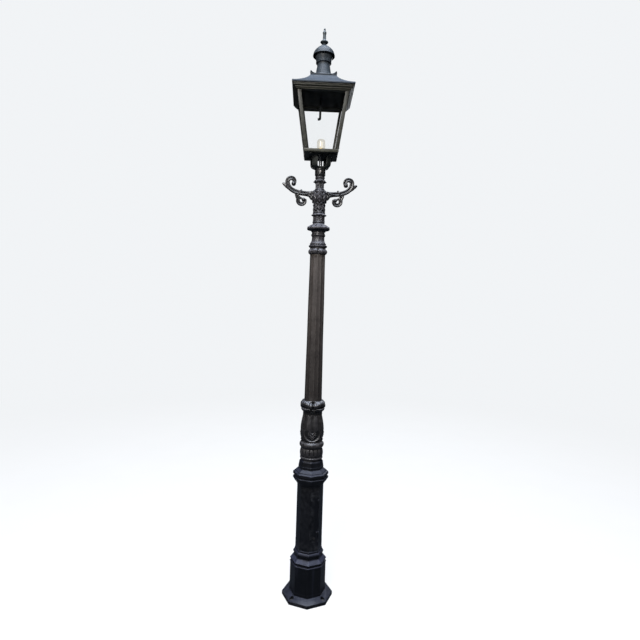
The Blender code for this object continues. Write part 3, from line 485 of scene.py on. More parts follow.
def lathe(name, profile, cols, relief=None, relief_from=0.03, poles=False):
    """A profile of (radius, height) turned about the axis. relief(angle, radius, height) gives a
    radial offset, a lift and the amount of painted shade, 0..1 or None, which the paint reads as
    darkening in hollows and under overhangs. It acts only beyond the radius relief_from. The angle
    is 0 at the front (-Y) and grows towards +X."""
    profile = np.array(profile, float)
    angle, radius = np.meshgrid(np.arange(cols) / cols * TAU, profile[:, 0])
    z = np.repeat(profile[:, 1:], cols, axis=1)
    depth = None
    if relief:
        offset, lift, depth = relief(angle, radius, z)
        carved = radius > relief_from
        radius = radius + np.where(carved, offset, 0)
        z = z + np.where(carved, lift, 0)
    grid = np.stack([radius * np.sin(angle), -radius * np.cos(angle), z], axis=-1)
    obj = grid_object(name, grid, poles)
    # the painted shade is kept on the mesh for the paint to read
    if depth is not None:
        layer = obj.data.attributes.new("painted_shade", "FLOAT", "POINT")
        layer.data.foreach_set("value", unit(depth).ravel().astype(np.float32))
    return obj


def sheet_solid(name, front, back):
    """Closes two matching open grids (rows x cols x 3) into one thick sheet."""
    rows, cols, _ = front.shape
    points = np.vstack([front.reshape(-1, 3), back.reshape(-1, 3)])
    n = rows * cols
    faces = []
    for i in range(rows - 1):
        for j in range(cols - 1):
            here, below = i * cols + j, (i + 1) * cols + j
            faces.append((here, here + 1, below + 1, below))
            faces.append((n + below, n + below + 1, n + here + 1, n + here))
    rim = ([(0, j) for j in range(cols)] + [(i, cols - 1) for i in range(1, rows)]
           + [(rows - 1, j) for j in range(cols - 2, -1, -1)]
           + [(i, 0) for i in range(rows - 2, 0, -1)])
    rim = [i * cols + j for i, j in rim]
    for here, after in zip(rim, rim[1:] + rim[:1]):
        faces.append((after, here, n + here, n + after))
    return solid(name, points, np.array(faces))


def sweep(name, line, widths, depths, groove=0.0, cols=28, side=1.0):
    """A bar along a line of (x, z) points in the XZ plane. widths is its size in that plane,
    depths its size along Y, groove the depth of the channel down its two faces. side mirrors X."""
    line = np.array(line, float)
    widths = np.broadcast_to(widths, len(line))
    depths = np.broadcast_to(depths, len(line))
    tangent = np.gradient(line, axis=0)
    tangent /= np.linalg.norm(tangent, axis=1)[:, None]
    normal = np.column_stack([-tangent[:, 1], tangent[:, 0]])
    angle = np.arange(cols) / cols * TAU
    cosine, sine = np.cos(angle), np.sin(angle)
    power = 0.62   # below 1 squares the section up
    across = np.sign(cosine) * np.abs(cosine) ** power
    through = np.sign(sine) * np.abs(sine) ** power
    rows = []
    for i in range(len(line)):
        width, depth = widths[i] / 2, depths[i] / 2
        out = across * width
        channel = groove * np.exp(-(across / 0.42) ** 2) * min(1.0, depth / 0.006)
        rows.append(np.column_stack([side * (line[i, 0] + normal[i, 0] * out),
                                     through * (depth - channel),
                                     line[i, 1] + normal[i, 1] * out]))
    return grid_object(name, np.array(rows), poles=True)


def ball(name, centre, radii, cols=24, rows=14):
    down, turn = np.meshgrid(np.linspace(0.12, math.pi - 0.12, rows),
                             np.arange(cols) / cols * TAU, indexing="ij")
    grid = np.stack([np.sin(down) * np.cos(turn) * radii[0],
                     np.sin(down) * np.sin(turn) * radii[1], np.cos(down) * radii[2]], axis=-1)
    return grid_object(name, grid + np.array(centre), poles=True)


# ============================================================ finishing pieces
def finish(obj, mat, node=None, sharp=32, body="post"):
    """Shading, material and body of a piece, and the CAD node it replaces."""
    if obj.name not in bpy.context.scene.collection.all_objects:
        bpy.context.scene.collection.objects.link(obj)
    mesh = obj.data
    mesh.materials.clear()
    mesh.materials.append(MATERIALS[mat])
    mesh.polygons.foreach_set("material_index", np.zeros(len(mesh.polygons), np.int32))
    mesh.shade_smooth()
    if sharp:
        mesh.set_sharp_from_angle(angle=math.radians(sharp))
    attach(obj, body)
    if node:
        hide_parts(node)
    return obj


def turned(node, mat, profile, cols, sharp=50, **options):
    """A lathe piece in place of a CAD node."""
    finish(lathe(node + "_skin", profile, cols, **options), mat, node, sharp)


def prism(node, mat, profile, sides, rounding, arc=5):
    """A closed profile swept round a polygon, in place of a CAD node. Its radii run to the
    corners of an octagon, or are the half widths of a square."""
    reach = math.sqrt(2) if sides == 4 else 1
    rows = []
    for radius, z in profile:
        outline = section(sides, radius * reach, rounding, arc)
        rows.append(np.column_stack([outline, np.full(len(outline), z)]))
    finish(grid_object(node + "_skin", np.array(rows)), mat, node, sharp=40)


def gathered(name, pieces):
    """Several closed shapes as one object, each left as it is."""
    bm = bmesh.new()
    for piece in pieces:
        bm.from_mesh(piece.data)
        bpy.data.objects.remove(piece)
    mesh = bpy.data.meshes.new(name)
    bm.to_mesh(mesh)
    bm.free()
    return bpy.data.objects.new(name, mesh)


def apply_all(obj):
    graph = bpy.context.evaluated_depsgraph_get()
    graph.update()
    made = bpy.data.meshes.new_from_object(obj.evaluated_get(graph))
    obj.modifiers.clear()
    obj.data = made


def merged(name, pieces, voxel):
    """One cast surface from overlapping closed shapes, by voxel remesh, then smoothed."""
    obj = gathered(name, pieces)
    bpy.context.scene.collection.objects.link(obj)
    remesh = obj.modifiers.new("Cast", "REMESH")
    remesh.mode = "VOXEL"
    remesh.voxel_size = voxel * 1.0
    remesh.adaptivity = 0.0
    soften = obj.modifiers.new("Soften", "SMOOTH")
    soften.iterations = 2
    soften.factor = 0.5
    apply_all(obj)
    return obj


def refine(node, mat, width=0.0006, segments=2, angle=28):
    """A finer copy of a CAD node, in its place: flat faces made whole, edges rounded by width
    where they turn more than angle degrees."""
    bm = bmesh.new()
    bm.from_mesh(frame["nodes"][node].data)
    bmesh.ops.remove_doubles(bm, verts=bm.verts, dist=0.000005)
    bmesh.ops.dissolve_limit(bm, angle_limit=math.radians(1.5), verts=bm.verts, edges=bm.edges)
    mesh = bpy.data.meshes.new(node + "_skin")
    bm.to_mesh(mesh)
    bm.free()
    obj = bpy.data.objects.new(node + "_skin", mesh)
    bpy.context.scene.collection.objects.link(obj)
    bevel = obj.modifiers.new("Edges", "BEVEL")
    bevel.width = width
    bevel.segments = segments
    bevel.limit_method = "ANGLE"
    bevel.angle_limit = math.radians(angle)
    apply_all(obj)
    bodies = frame["record"]["behaviour"]["bodies"]
    owner = next(body for body, names in bodies.items() if node in names)
    return finish(obj, mat, node, sharp=30, body=owner)


# ============================================================ relief helpers
def unit(x):
    return np.clip(x, 0, 1)


def wrap(angle):
    """Angle folded to -pi..pi."""
    return (angle + math.pi) % TAU - math.pi


def around(angle, count, shift=0.0):
    """Angle to the nearest of count evenly spaced directions."""
    return wrap(count * (angle - shift)) / count


def bell(x, width):
    return np.exp(-(x / width) ** 2)


def smooth(x, low, high):
    t = unit((x - low) / (high - low))
    return t * t * (3 - 2 * t)


def between(x, start, full, fall, end):
    """Rises over start..full and falls over fall..end."""
    return smooth(x, start, full) * (1 - smooth(x, fall, end))


def bead(x, width, z, height):
    """The upper half of an ellipsoid, 1 high, with the given half axes."""
    return unit(1 - (x / width) ** 2 - (z / height) ** 2) ** 0.5


def lobes(angle, count, power):
    """2 x count lobes round the axis, one of them at the front."""
    return np.abs(np.cos(count * angle)) ** power


def segment(x, y, x0, y0, x1, y1):
    """Distance from points to a segment, and the share along it."""
    dx, dy = x1 - x0, y1 - y0
    t = unit(((x - x0) * dx + (y - y0) * dy) / (dx * dx + dy * dy))
    return np.hypot(x - x0 - t * dx, y - y0 - t * dy), t


def leaf_outline(share):
    return np.sin(math.pi * unit(share * 0.86 + 0.12)) ** 0.62


def foliage(x, z, root, tip, half, count):
    """A leaf of count lobes drawn on the surface: its height and its eyelets, 0..1. x is across,
    z along, root and tip its ends, half its half width."""
    share = (z - root) / (tip - root)
    lobe = np.abs(np.sin(math.pi * count * unit(share)))
    reach = half * leaf_outline(share) * (0.66 + 0.34 * lobe ** 0.8)
    across = np.abs(x) / np.maximum(reach, 1e-5)
    inside = (share > -0.02) & (share < 1.04)
    shape = np.sqrt(unit(1 - across ** 2.4)) * inside
    vein = np.cos(TAU * count * (share - 0.5 * np.abs(x) / half * 0.55))
    rib = bell(x, half * 0.13)
    height = shape * (0.62 + 0.20 * vein) + 0.42 * rib * inside * smooth(share, -0.02, 0.1)
    holes = 0.0
    for k in range(1, count):
        centre = root + (tip - root) * (k / count)
        away = half * 0.62 * leaf_outline(k / count)
        holes = holes + bell(np.hypot((np.abs(x) - away) / (half * 0.20),
                                      (z - centre) / abs(tip - root) * count / 0.38), 1.0)
    return height, unit(holes)


# ============================================================ pedestal
# Profiles here and below are (radius or half width, height), with an own corner radius third.
LOWER_PEDESTAL = [
    (0.0822, 0.296), (0.0835, 0.2945), (0.0845, 0.2895), (0.0852, 0.285, 0.0004),
    (0.088, 0.2828), (0.0912, 0.2785), (0.0932, 0.2735), (0.0936, 0.2695), (0.0922, 0.265),
    (0.0892, 0.2625, 0.0005), (0.0885, 0.2505, 0.0006), (0.0902, 0.2472, 0.0006),
    (0.094, 0.2438, 0.0008), (0.1112, 0.2295, 0.001), (0.1116, 0.2245, 0.001),
    (0.1075, 0.2222, 0.0006), (0.1055, 0.22, 0.0004), (0.1055, 0.213, 0.0005),
    (0.1105, 0.2115, 0.0006), (0.1122, 0.2095, 0.001), (0.1122, 0.2055, 0.001),
    (0.1105, 0.2035, 0.0006), (0.1098, 0.202, 0.0004), (0.1098, 0.052), (0.1108, 0.047, 0.0012),
    (0.1118, 0.0363, 0.0004), (0.097, 0.0363), (0.097, 0.2), (0.083, 0.235), (0.074, 0.27),
    (0.074, 0.296)]
PEDESTAL_CORNICE = [
    (0.064, 0.841), (0.0655, 0.8375), (0.0675, 0.8345), (0.0712, 0.83), (0.0728, 0.827, 0.0006),
    (0.0744, 0.815), (0.0762, 0.804, 0.0006), (0.0762, 0.8018, 0.0004),
    (0.0774, 0.8006, 0.0004), (0.0774, 0.7856, 0.0006), (0.0784, 0.7842, 0.0004),
    (0.0806, 0.7828), (0.085, 0.78), (0.0905, 0.7762), (0.0955, 0.7724),
    (0.098, 0.7705, 0.0005), (0.0986, 0.7682, 0.0004), (0.1004, 0.7662, 0.0004),
    (0.105, 0.7638), (0.1094, 0.761, 0.001), (0.1098, 0.747, 0.001), (0.107, 0.7448, 0.0006),
    (0.103, 0.7432, 0.0005), (0.103, 0.7372, 0.0005), (0.1062, 0.7358, 0.0006),
    (0.1092, 0.7335, 0.001), (0.1098, 0.727, 0.0012), (0.108, 0.721), (0.1035, 0.716, 0.0008),
    (0.101, 0.711), (0.0965, 0.704), (0.0915, 0.6985), (0.0872, 0.6945),
    (0.0865, 0.6915, 0.0005), (0.083, 0.689, 0.0006), (0.0812, 0.6812, 0.0006), (0.06, 0.6812),
    (0.06, 0.77), (0.0278, 0.795), (0.0278, 0.841)]

for k in range(1, 5):
    refine(f"anchor_bolt_{k}", "bolt")
refine("base_flange", "flange", width=0.0016, segments=3, angle=20)
prism("lower_pedestal", "pedestal", fillet(LOWER_PEDESTAL), sides=8, rounding=0.0028)
refine("upper_pedestal", "pedestal", width=0.0022, segments=4, angle=20)
refine("access_door", "pedestal", width=0.0007)
refine("door_lock", "bolt", width=0.0004)
for which in ("upper", "lower"):
    refine(f"door_hinge_pin_{which}", "bolt", width=0.0003)
prism("pedestal_cornice", "cornice", fillet(PEDESTAL_CORNICE, 0.0009), sides=8, rounding=0.0026)


# ============================================================ gadroon bowl
def bowl_relief(angle, radius, z):
    """Sixteen lobes with veins, a row of tips beneath them, a notched torus above."""
    band = between(z, 0.86, 0.868, 0.904, 0.911)
    lobe = lobes(angle, 8, 0.60)
    vein = 0.5 + 0.5 * np.cos(32 * angle)
    torus = bell(z - 0.932, 0.011)
    notch = bell(around(angle, 4, QUARTER) * 0.074, 0.004) * torus
    tips = bead(around(angle, 16, math.pi / 16) * 0.070, 0.0062, z - 0.864, 0.009)
    offset = (band * (0.0046 * (lobe - 0.80) - 0.0007 * vein * lobe) + 0.0026 * tips
              - 0.0060 * notch + 0.0006 * torus * np.cos(16 * angle))
    # depth is painted shade: between the lobes, in the veins, under the row of tips, in the groove
    # under the torus and at the foot
    depth = (band * unit(1.15 - 1.5 * lobe) + 0.30 * band * vein * (z < 0.900) + notch
             + 0.75 * between(z, 0.856, 0.86, 0.864, 0.872) * (1 - tips)
             + 0.8 * bell(z - 0.9145, 0.0045) + 0.8 * (1 - smooth(z, 0.8425, 0.847)))
    return offset, 0, depth


GADROON_BOWL = [
    (0.0648, 0.9537), (0.0652, 0.949), (0.069, 0.9455), (0.073, 0.94), (0.0748, 0.932),
    (0.0742, 0.9245), (0.0712, 0.9185), (0.0662, 0.9155), (0.0645, 0.912, 0.0005),
    (0.065, 0.908), (0.0674, 0.902), (0.0698, 0.893), (0.0711, 0.883), (0.0711, 0.875),
    (0.0696, 0.867), (0.0664, 0.8605), (0.064, 0.858, 0.0004), (0.068, 0.8562),
    (0.0698, 0.8535), (0.0698, 0.8485), (0.0676, 0.8445), (0.0655, 0.8421)]
turned("gadroon_bowl", "vase", bored(GADROON_BOWL, step=0.001), cols=384, relief=bowl_relief)

# ============================================================ vase
# Strokes of the vase ornament, mirrored: x and z of both ends, width, height
STROKES = ((0.0, 0.985, 0.015, 1.001, 0.0026, 0.0044), (0.0, 0.973, 0.0125, 0.985, 0.0024, 0.0038),
           (0.006, 1.009, 0.0135, 1.017, 0.0022, 0.0034),
           (0.0185, 0.99, 0.0235, 1.001, 0.0022, 0.003))


def vase_ornament(x, z):
    """A middle bead, leaf strokes and an eye ring on each side of it."""
    height = 0.0052 * bead(x, 0.005, z - 1.003, 0.007)
    for side in (-1, 1):
        for x0, z0, x1, z1, width, rise in STROKES:
            away, share = segment(x, z, side * x0, z0, side * x1, z1)
            height = np.maximum(height, rise * bell(away, width * (1.15 - 0.45 * share)))
        eye = np.abs(np.hypot(x - side * 0.0205, z - 1.011) - 0.0036)
        height = np.maximum(height, 0.0028 * bell(eye, 0.0011))
    return height


def vase_relief(angle, radius, z):
    """Four round-bottomed panels, ornament low in each and flutes above, with buds between."""
    turn = around(angle, 4)
    round_top, round_low = 1.0060, 0.9585   # heights between which a panel rounds off
    half = math.radians(41.5) - 0.03 * smooth(z, 1.01, 1.13)
    low = np.hypot(turn / half, np.clip((round_top - z) / (round_top - round_low), 0, None))
    away = np.where(z < round_top, (low - 1) * 0.047, (np.abs(turn) - half) * radius)
    rim = bell(away, 0.0023)
    inner = bell(away + 0.0078, 0.0012)
    ground = smooth(away, 0.0022, 0.0046)
    inside = 1 - smooth(away, -0.0062, -0.0035)
    field = inside * (1 - smooth(z, 1.0150, 1.0260 + 0.004 * np.cos(turn * 12)))
    flute = -np.cos(turn / math.radians(40.0) * TAU)
    ribs = inside * smooth(z, 1.0170, 1.0320) * (1 - 0.6 * smooth(z, 1.095, 1.118))
    ornament = vase_ornament(turn * radius, z)
    gap = np.abs(around(angle, 4, QUARTER)) * radius
    bud = (bell(np.hypot(gap / 0.007, (z - 0.974) / 0.013), 0.80)
           * (0.75 + 0.25 * np.cos(gap * 2200)) * ground)
    top = smooth(z, 1.112, 1.116)
    beading = np.cos(24 * angle)
    offset = (0.0034 * rim + 0.0012 * inner - 0.0032 * ground + ribs * 0.0024 * flute
              - 0.0042 * field + ornament * (0.3 + 0.7 * field) + 0.0046 * bud)
    # depth is painted shade on the sunk ground, in the panel fields round the ornament, between
    # the flutes and inside the rim
    depth = (0.80 * ground * (1 - bud) + 0.85 * field * (1 - unit(ornament / 0.0030))
             + ribs * unit(0.55 * (0.35 - flute)))
    depth = depth * (1 - 0.95 * rim) + 0.55 * (1 - inside) * (1 - ground) * (1 - rim)
    # painted shadow of the leaf collar over the vase's neck, above 1.112
    depth = np.where(z > 1.112, np.maximum(depth, 0.85 * top - 0.25 * beading), depth)
    return offset * (1 - top) + top * 0.0012 * beading, 0, depth


VASE = [
    (0.059, 1.1327), (0.058, 1.123), (0.0588, 1.115), (0.0604, 1.104), (0.0634, 1.089),
    (0.0664, 1.075), (0.0694, 1.058), (0.0714, 1.04), (0.0726, 1.025), (0.0732, 1.01),
    (0.0728, 0.995), (0.0712, 0.982), (0.0688, 0.971), (0.0666, 0.962), (0.0652, 0.956),
    (0.065, 0.9543)]
turned("vase", "vase", bored(VASE, step=0.0009, per=6), cols=528, relief=vase_relief, sharp=60)


# ============================================================ leaf collar
def leaf_collar_relief(angle, radius, z):
    """Four overturned leaves whose rolls meet at the front, back and sides, with a second row of
    tips beneath them."""
    meet = np.abs(around(angle, 4)) / QUARTER    # 0 where two leaves meet, 1 at a leaf's middle
    roll = smooth(z, 1.163, 1.169)
    second = between(z, 1.138, 1.144, 1.159, 1.164)
    joint = bell(meet * 0.055, 0.0052)
    far = smooth(radius, 0.0565, 0.064)
    veins = np.cos(around(angle, 4, QUARTER) * 30)
    dip = 1 - lobes(angle, 4, 0.6)
    offset = roll * far * (-0.0080 * joint - 0.0060 * (1 - smooth(meet, 0.0, 0.55))
                           + 0.0012 * veins * smooth(radius, 0.060, 0.066)
                           + 0.0015 * np.sin(meet * math.pi / 2))
    offset = offset - second * (0.0130 * (1 - smooth(meet, 0.05, 0.55)) + 0.0030 * dip
                                - 0.0008 * np.cos(48 * angle))
    lift = (roll * far * (-0.0150 * (1 - smooth(meet, 0.0, 0.95)) + 0.0010)
            + second * (0.0030 * dip - 0.0060 * (1 - smooth(meet, 0.0, 0.5))))
    # depth is painted shade: where the rolls meet, in the groove under the rolls, where the second
    # row meets, in the veins and over the whole underside below 1.147
    depth = (roll * joint + bell(z - 1.165, 0.006) * (radius < 0.076)
             + second * (1 - smooth(meet, 0.25, 0.60)) + 1 - smooth(z, 1.14, 1.147)
             + 0.35 * roll * (0.5 - 0.5 * veins))
    return offset, lift, depth


LEAF_COLLAR = [
    (0.056, 1.201), (0.06, 1.2022), (0.065, 1.2012), (0.071, 1.1982), (0.0766, 1.1928),
    (0.0796, 1.1862), (0.0802, 1.179), (0.0784, 1.1726), (0.0742, 1.1686), (0.069, 1.1672),
    (0.065, 1.1664), (0.0632, 1.164), (0.0642, 1.1614), (0.069, 1.1604), (0.075, 1.1588),
    (0.0792, 1.1548), (0.0796, 1.15), (0.0768, 1.1452), (0.071, 1.141), (0.065, 1.1372),
    (0.0612, 1.1339)]
turned("leaf_collar", "turned", bored(LEAF_COLLAR, per=6, low=1.1337), cols=480,
       relief=leaf_collar_relief, sharp=0)

# ============================================================ fluted shaft
FLUTES = 12


def shaft_relief(angle, radius, z):
    share = wrap(FLUTES * angle + math.pi) / math.pi
    cut = np.sqrt(np.clip(1 - (share / 0.84) ** 2, 0, None))
    return -0.0031 * cut * between(z, 1.206, 1.22, 2.08, 2.094), 0, None


SHAFT = [(0.0468, 2.0996), (0.0468, 2.09), (0.047, 2.07), (0.048, 1.946), (0.0493, 1.822),
         (0.0499, 1.698), (0.0502, 1.574), (0.0517, 1.45), (0.0527, 1.326), (0.0538, 1.21),
         (0.0538, 1.2024)]
turned("fluted_shaft", "shaft", bored(SHAFT, step=0.012, bore=0.0375, per=4), cols=FLUTES * 22,
       relief=shaft_relief, relief_from=0.044)


# ============================================================ shaft collar, capital, drip disc
def collar_relief(angle, radius, z):
    """Eight veined lobes whose lower edges rise between them."""
    lobe = np.abs(np.sin(4 * angle)) ** 0.55
    band = between(z, 2.1, 2.105, 2.13, 2.14)
    vein = 0.0010 * np.cos(32 * angle) * between(z, 2.106, 2.11, 2.12, 2.128)
    lift = 0.0105 * (1 - lobe) * (1 - smooth(z, 2.101, 2.126)) * smooth(radius, 0.050, 0.056)
    # depth is painted shade between the lobes, in the groove above them and where the collar meets
    # the shaft
    depth = (band * unit(1.3 - 1.8 * lobe) + 0.9 * bell(z - 2.1405, 0.0035)
             + 0.8 * (1 - smooth(z, 2.1015, 2.106)))
    return 0.0085 * (lobe - 0.86) * band + vein, lift, depth


SHAFT_COLLAR = [
    (0.049, 2.1567), (0.0545, 2.156), (0.0564, 2.154), (0.0566, 2.15), (0.056, 2.1465),
    (0.0535, 2.144, 0.0004), (0.049, 2.1425), (0.0485, 2.139), (0.05, 2.134), (0.0545, 2.129),
    (0.0585, 2.122), (0.0592, 2.115), (0.058, 2.109), (0.0555, 2.104), (0.052, 2.101),
    (0.048, 2.1003)]
turned("shaft_collar", "capital", bored(SHAFT_COLLAR), cols=320, relief=collar_relief)


def capital_relief(angle, radius, z):
    ribs = 0.0011 * (lobes(angle, 6, 0.8) - 0.6) * between(z, 2.159, 2.166, 2.2, 2.207)
    # depth is painted shade in the grooves and where the capital meets the collar
    depth = (0.85 * bell(z - 2.2265, 0.0026) + 0.85 * bell(z - 2.2110, 0.0026)
             + 0.7 * (1 - smooth(z, 2.1573, 2.1605)) + 0.5 * bell(z - 2.1640, 0.0020))
    return ribs, 0, depth


BELL_CAPITAL = [
    (0.039, 2.2377), (0.0395, 2.233), (0.0405, 2.229, 0.0005), (0.0405, 2.2265, 0.0005),
    (0.0432, 2.224), (0.044, 2.219), (0.0432, 2.214), (0.04, 2.211, 0.0005), (0.0385, 2.208),
    (0.0383, 2.2), (0.0392, 2.191), (0.0412, 2.182), (0.0445, 2.174), (0.0485, 2.168),
    (0.05, 2.164, 0.0006), (0.05, 2.16, 0.0006), (0.048, 2.1573)]
turned("bell_capital", "capital", bored(BELL_CAPITAL), cols=240, relief=capital_relief)


def disc_relief(angle, radius, z):
    """Ten petals on the upper face and a scalloped rim."""
    upper = smooth(radius, 0.038, 0.046) * smooth(z, 2.26, 2.264)
    top = upper * (1 - smooth(radius, 0.069, 0.0718))
    dark_top = upper * (1 - smooth(radius, 0.064, 0.0705))
    petal = lobes(angle, 5, 0.6)
    fine = np.cos(40 * angle)
    rim = (0.0022 * lobes(angle, 5, 1) - 0.0026) * smooth(radius, 0.064, 0.070)
    # depth is painted shade between the petals and in their veins, over the disc's underside and
    # where it meets the neck
    depth = (dark_top * unit(1.15 - 1.3 * petal) + 0.3 * dark_top * (0.5 - 0.5 * fine)
             + 0.9 * (z < 2.2545) * (z > 2.2400) + 0.5 * smooth(z, 2.286, 2.29))
    offset = rim + (0.0062 * (petal - 0.80) + 0.0012 * fine) * top
    return offset, 0.0022 * (petal - 0.8) * top, depth


DRIP_DISC = [
    (0.0358, 2.2927), (0.0368, 2.289), (0.04, 2.285), (0.044, 2.282), (0.05, 2.2785),
    (0.057, 2.2745), (0.064, 2.2705), (0.069, 2.267), (0.0718, 2.2635), (0.072, 2.259, 0.001),
    (0.0712, 2.2545), (0.069, 2.252), (0.064, 2.2505, 0.0006), (0.056, 2.25), (0.0485, 2.248),
    (0.046, 2.245), (0.0435, 2.24), (0.0425, 2.2383)]
turned("drip_disc", "capital", bored(DRIP_DISC, step=0.001), cols=360, relief=disc_relief)


# ============================================================ ornate neck
def neck_relief(angle, radius, z):
    """Leaves over a spiked ring, with small leaves hanging below it."""
    ring = bell(z - 2.3425, 0.0046)
    spikes = lobes(angle, 4, 3)
    corner = around(angle, 4, QUARTER) * 0.036
    high, holes = foliage(around(angle, 4) * 0.036, z, root=2.351, tip=2.406, half=0.02, count=2)
    high2, _ = foliage(corner, z, root=2.372, tip=2.409, half=0.011, count=2)
    band = between(z, 2.349, 2.353, 2.406, 2.41)
    eye = bell(np.hypot(corner / 0.0078, (z - 2.364) / 0.007), 1.0)
    hang, _ = foliage(around(angle, 8, math.pi / 8) * 0.037, z, root=2.3345, tip=2.302,
                      half=0.0115, count=2)
    offset = (ring * (0.0085 * spikes - 0.0014)
              + band * (0.0058 * high - 0.0034 - 0.0030 * holes + 0.0040 * high2 * (high < 0.15))
              - 0.0085 * eye + 0.0030 * hang)
    # depth is painted shade round the leaves and in their eyelets, in the eyes, between the
    # spikes, round the hanging leaves and in the two grooves
    depth = (band * unit(0.85 - 1.5 * np.maximum(high, high2)) + band * holes + 1.2 * eye
             + ring * unit(0.9 - 1.8 * spikes)
             + 0.55 * (np.abs(z - 2.318) < 0.017) * unit(1 - 1.6 * hang)
             + 0.9 * bell(z - 2.3350, 0.0022) + 0.9 * bell(z - 2.2975, 0.0022))
    return offset, 0, depth


ORNATE_NECK = [
    (0.0352, 2.4107), (0.0362, 2.4085), (0.0366, 2.406), (0.0358, 2.4025), (0.035, 2.396),
    (0.0348, 2.385), (0.0352, 2.37), (0.0358, 2.358), (0.0362, 2.352), (0.0388, 2.3485),
    (0.0408, 2.345), (0.0412, 2.3415), (0.0398, 2.3375), (0.0365, 2.335, 0.0005),
    (0.0352, 2.332), (0.0352, 2.315), (0.0362, 2.304), (0.0384, 2.299), (0.0386, 2.2955),
    (0.0362, 2.2934)]
turned("ornate_neck", "capital", bored(ORNATE_NECK, step=0.0009), cols=384, relief=neck_relief,
       sharp=0)


# ============================================================ arm boss
def boss_relief(angle, radius, z):
    """Four broad leaves hang from the shoulder with narrower ones between them; above it a
    sleeve of leaves and a spiked ring."""
    corner = around(angle, 4, QUARTER)
    high, holes = foliage(around(angle, 4) * 0.044, z, root=2.501, tip=2.42, half=0.03, count=3)
    high2, holes2 = foliage(corner * 0.044, z, root=2.478, tip=2.423, half=0.012, count=2)
    leaves = between(z, 2.4125, 2.417, 2.498, 2.502)
    tongue = bead(around(angle, 8, math.pi / 8) * 0.038, 0.0105, z - 2.419, 0.0075)
    ring = bell(z - 2.548, 0.0046)
    spikes = lobes(angle, 4, 3)
    sleeve, eyes = foliage(corner * 0.029, z, root=2.505, tip=2.54, half=0.017, count=2)
    band = between(z, 2.504, 2.507, 2.538, 2.542)
    offset = (leaves * (0.0078 * high - 0.0048 - 0.0012 * holes)
              + leaves * (0.0050 * high2 - 0.0010 * holes2) * (high < 0.15)
              + 0.0036 * tongue + ring * (0.0085 * spikes - 0.0012)
              + band * (0.0040 * sleeve - 0.0016 - 0.0020 * eyes))
    # depth is painted shade round the leaves and in their eyelets, between the spikes, round the
    # sleeve leaves and in its eyes, in the grooves and along the lower edge between the tongues
    depth = (leaves * unit(0.90 - 1.5 * np.maximum(high, high2)) + leaves * 0.15 * holes
             + ring * unit(0.9 - 1.8 * spikes) + band * unit(0.75 - 1.4 * sleeve) + band * eyes
             + 0.9 * bell(z - 2.5655, 0.0030)
             + 0.8 * (1 - smooth(z, 2.4115, 2.416)) * (1 - tongue)
             + 0.6 * bell(z - 2.5800, 0.0015))
    return offset, 0, depth


ARM_BOSS = [
    (0.0268, 2.5827), (0.0272, 2.5795), (0.0298, 2.577), (0.0302, 2.5725), (0.0282, 2.569),
    (0.0274, 2.565), (0.029, 2.5615), (0.033, 2.558), (0.0348, 2.554), (0.0344, 2.548),
    (0.0322, 2.544), (0.03, 2.541), (0.0288, 2.534), (0.0282, 2.523), (0.028, 2.512),
    (0.0284, 2.506), (0.031, 2.501), (0.0355, 2.4965), (0.04, 2.4915), (0.0428, 2.485),
    (0.044, 2.475), (0.0452, 2.463), (0.046, 2.452), (0.0455, 2.442), (0.0432, 2.431),
    (0.04, 2.4215), (0.0378, 2.4165), (0.0368, 2.4113)]
turned("arm_boss", "capital", bored(ARM_BOSS, step=0.0009, bore=UPPER_BORE, per=5), cols=448,
       relief=boss_relief, relief_from=0.0262, sharp=0)

# ============================================================ scroll arms
# Midlines of the right arm as (x, z)
ARM_LINE = [(0.04, 2.465), (0.0468, 2.4672), (0.054, 2.47), (0.064, 2.4728), (0.085, 2.4752),
            (0.11, 2.4772), (0.132, 2.4808), (0.152, 2.4868), (0.169, 2.4948), (0.183, 2.506),
            (0.1932, 2.5195), (0.1984, 2.533)]
LOW_LINE = [(0.1455, 2.49), (0.1425, 2.477), (0.1395, 2.464), (0.1352, 2.452)]
TIP_LINE = [(0.174, 2.4985), (0.188, 2.506), (0.201, 2.5155), (0.212, 2.5245), (0.222, 2.5305),
            (0.2314, 2.5346)]
TAIL_LINE = [(0.138, 2.464), (0.127, 2.454), (0.115, 2.4465), (0.102, 2.4415)]
SPIKE_LINE = [(0.137, 2.46), (0.129, 2.472), (0.121, 2.484), (0.1145, 2.493), (0.11, 2.4985)]
ROOT_LINE = [(0.045, 2.486), (0.06, 2.477), (0.078, 2.472), (0.096, 2.472)]


def main_scroll(side):
    """The arm itself, its width and depth set by the length along it."""
    line = np.vstack([curve_through(ARM_LINE, 7),
                      spiral((0.1768, 2.5475), turn=(-24, 220), radii=(0.0232, 0.0188))])
    steps = np.linalg.norm(np.diff(line, axis=0), axis=1)
    length = np.concatenate([[0], np.cumsum(steps)])
    width = np.interp(
        length, [0, 0.007, 0.015, 0.026, 0.045, 0.110, 0.150, 0.190, 0.240, 0.300],
        [0.064, 0.056, 0.045, 0.0345, 0.03, 0.029, 0.0292, 0.0284, 0.0268, 0.0248])
    depth = np.interp(length, [0, 0.02, 0.05, 0.15, 0.25, 0.30],
                      [0.032, 0.028, 0.024, 0.022, 0.0195, 0.018])
    return sweep("arm_main", line, width, depth, groove=0.0034, cols=40, side=side)


def lower_scroll(side):
    line = np.vstack([curve_through(LOW_LINE),
                      spiral((0.1092, 2.4312), turn=(30, -206), radii=(0.0236, 0.0190))[1:]])
    return sweep("arm_low", line,
                 stations(line, [0, 0.2, 0.8, 1], [0.0205, 0.0256, 0.0250, 0.0218]),
                 stations(line, [0, 0.3, 1], [0.0170, 0.0195, 0.0170]),
                 groove=0.0030, cols=36, side=side)


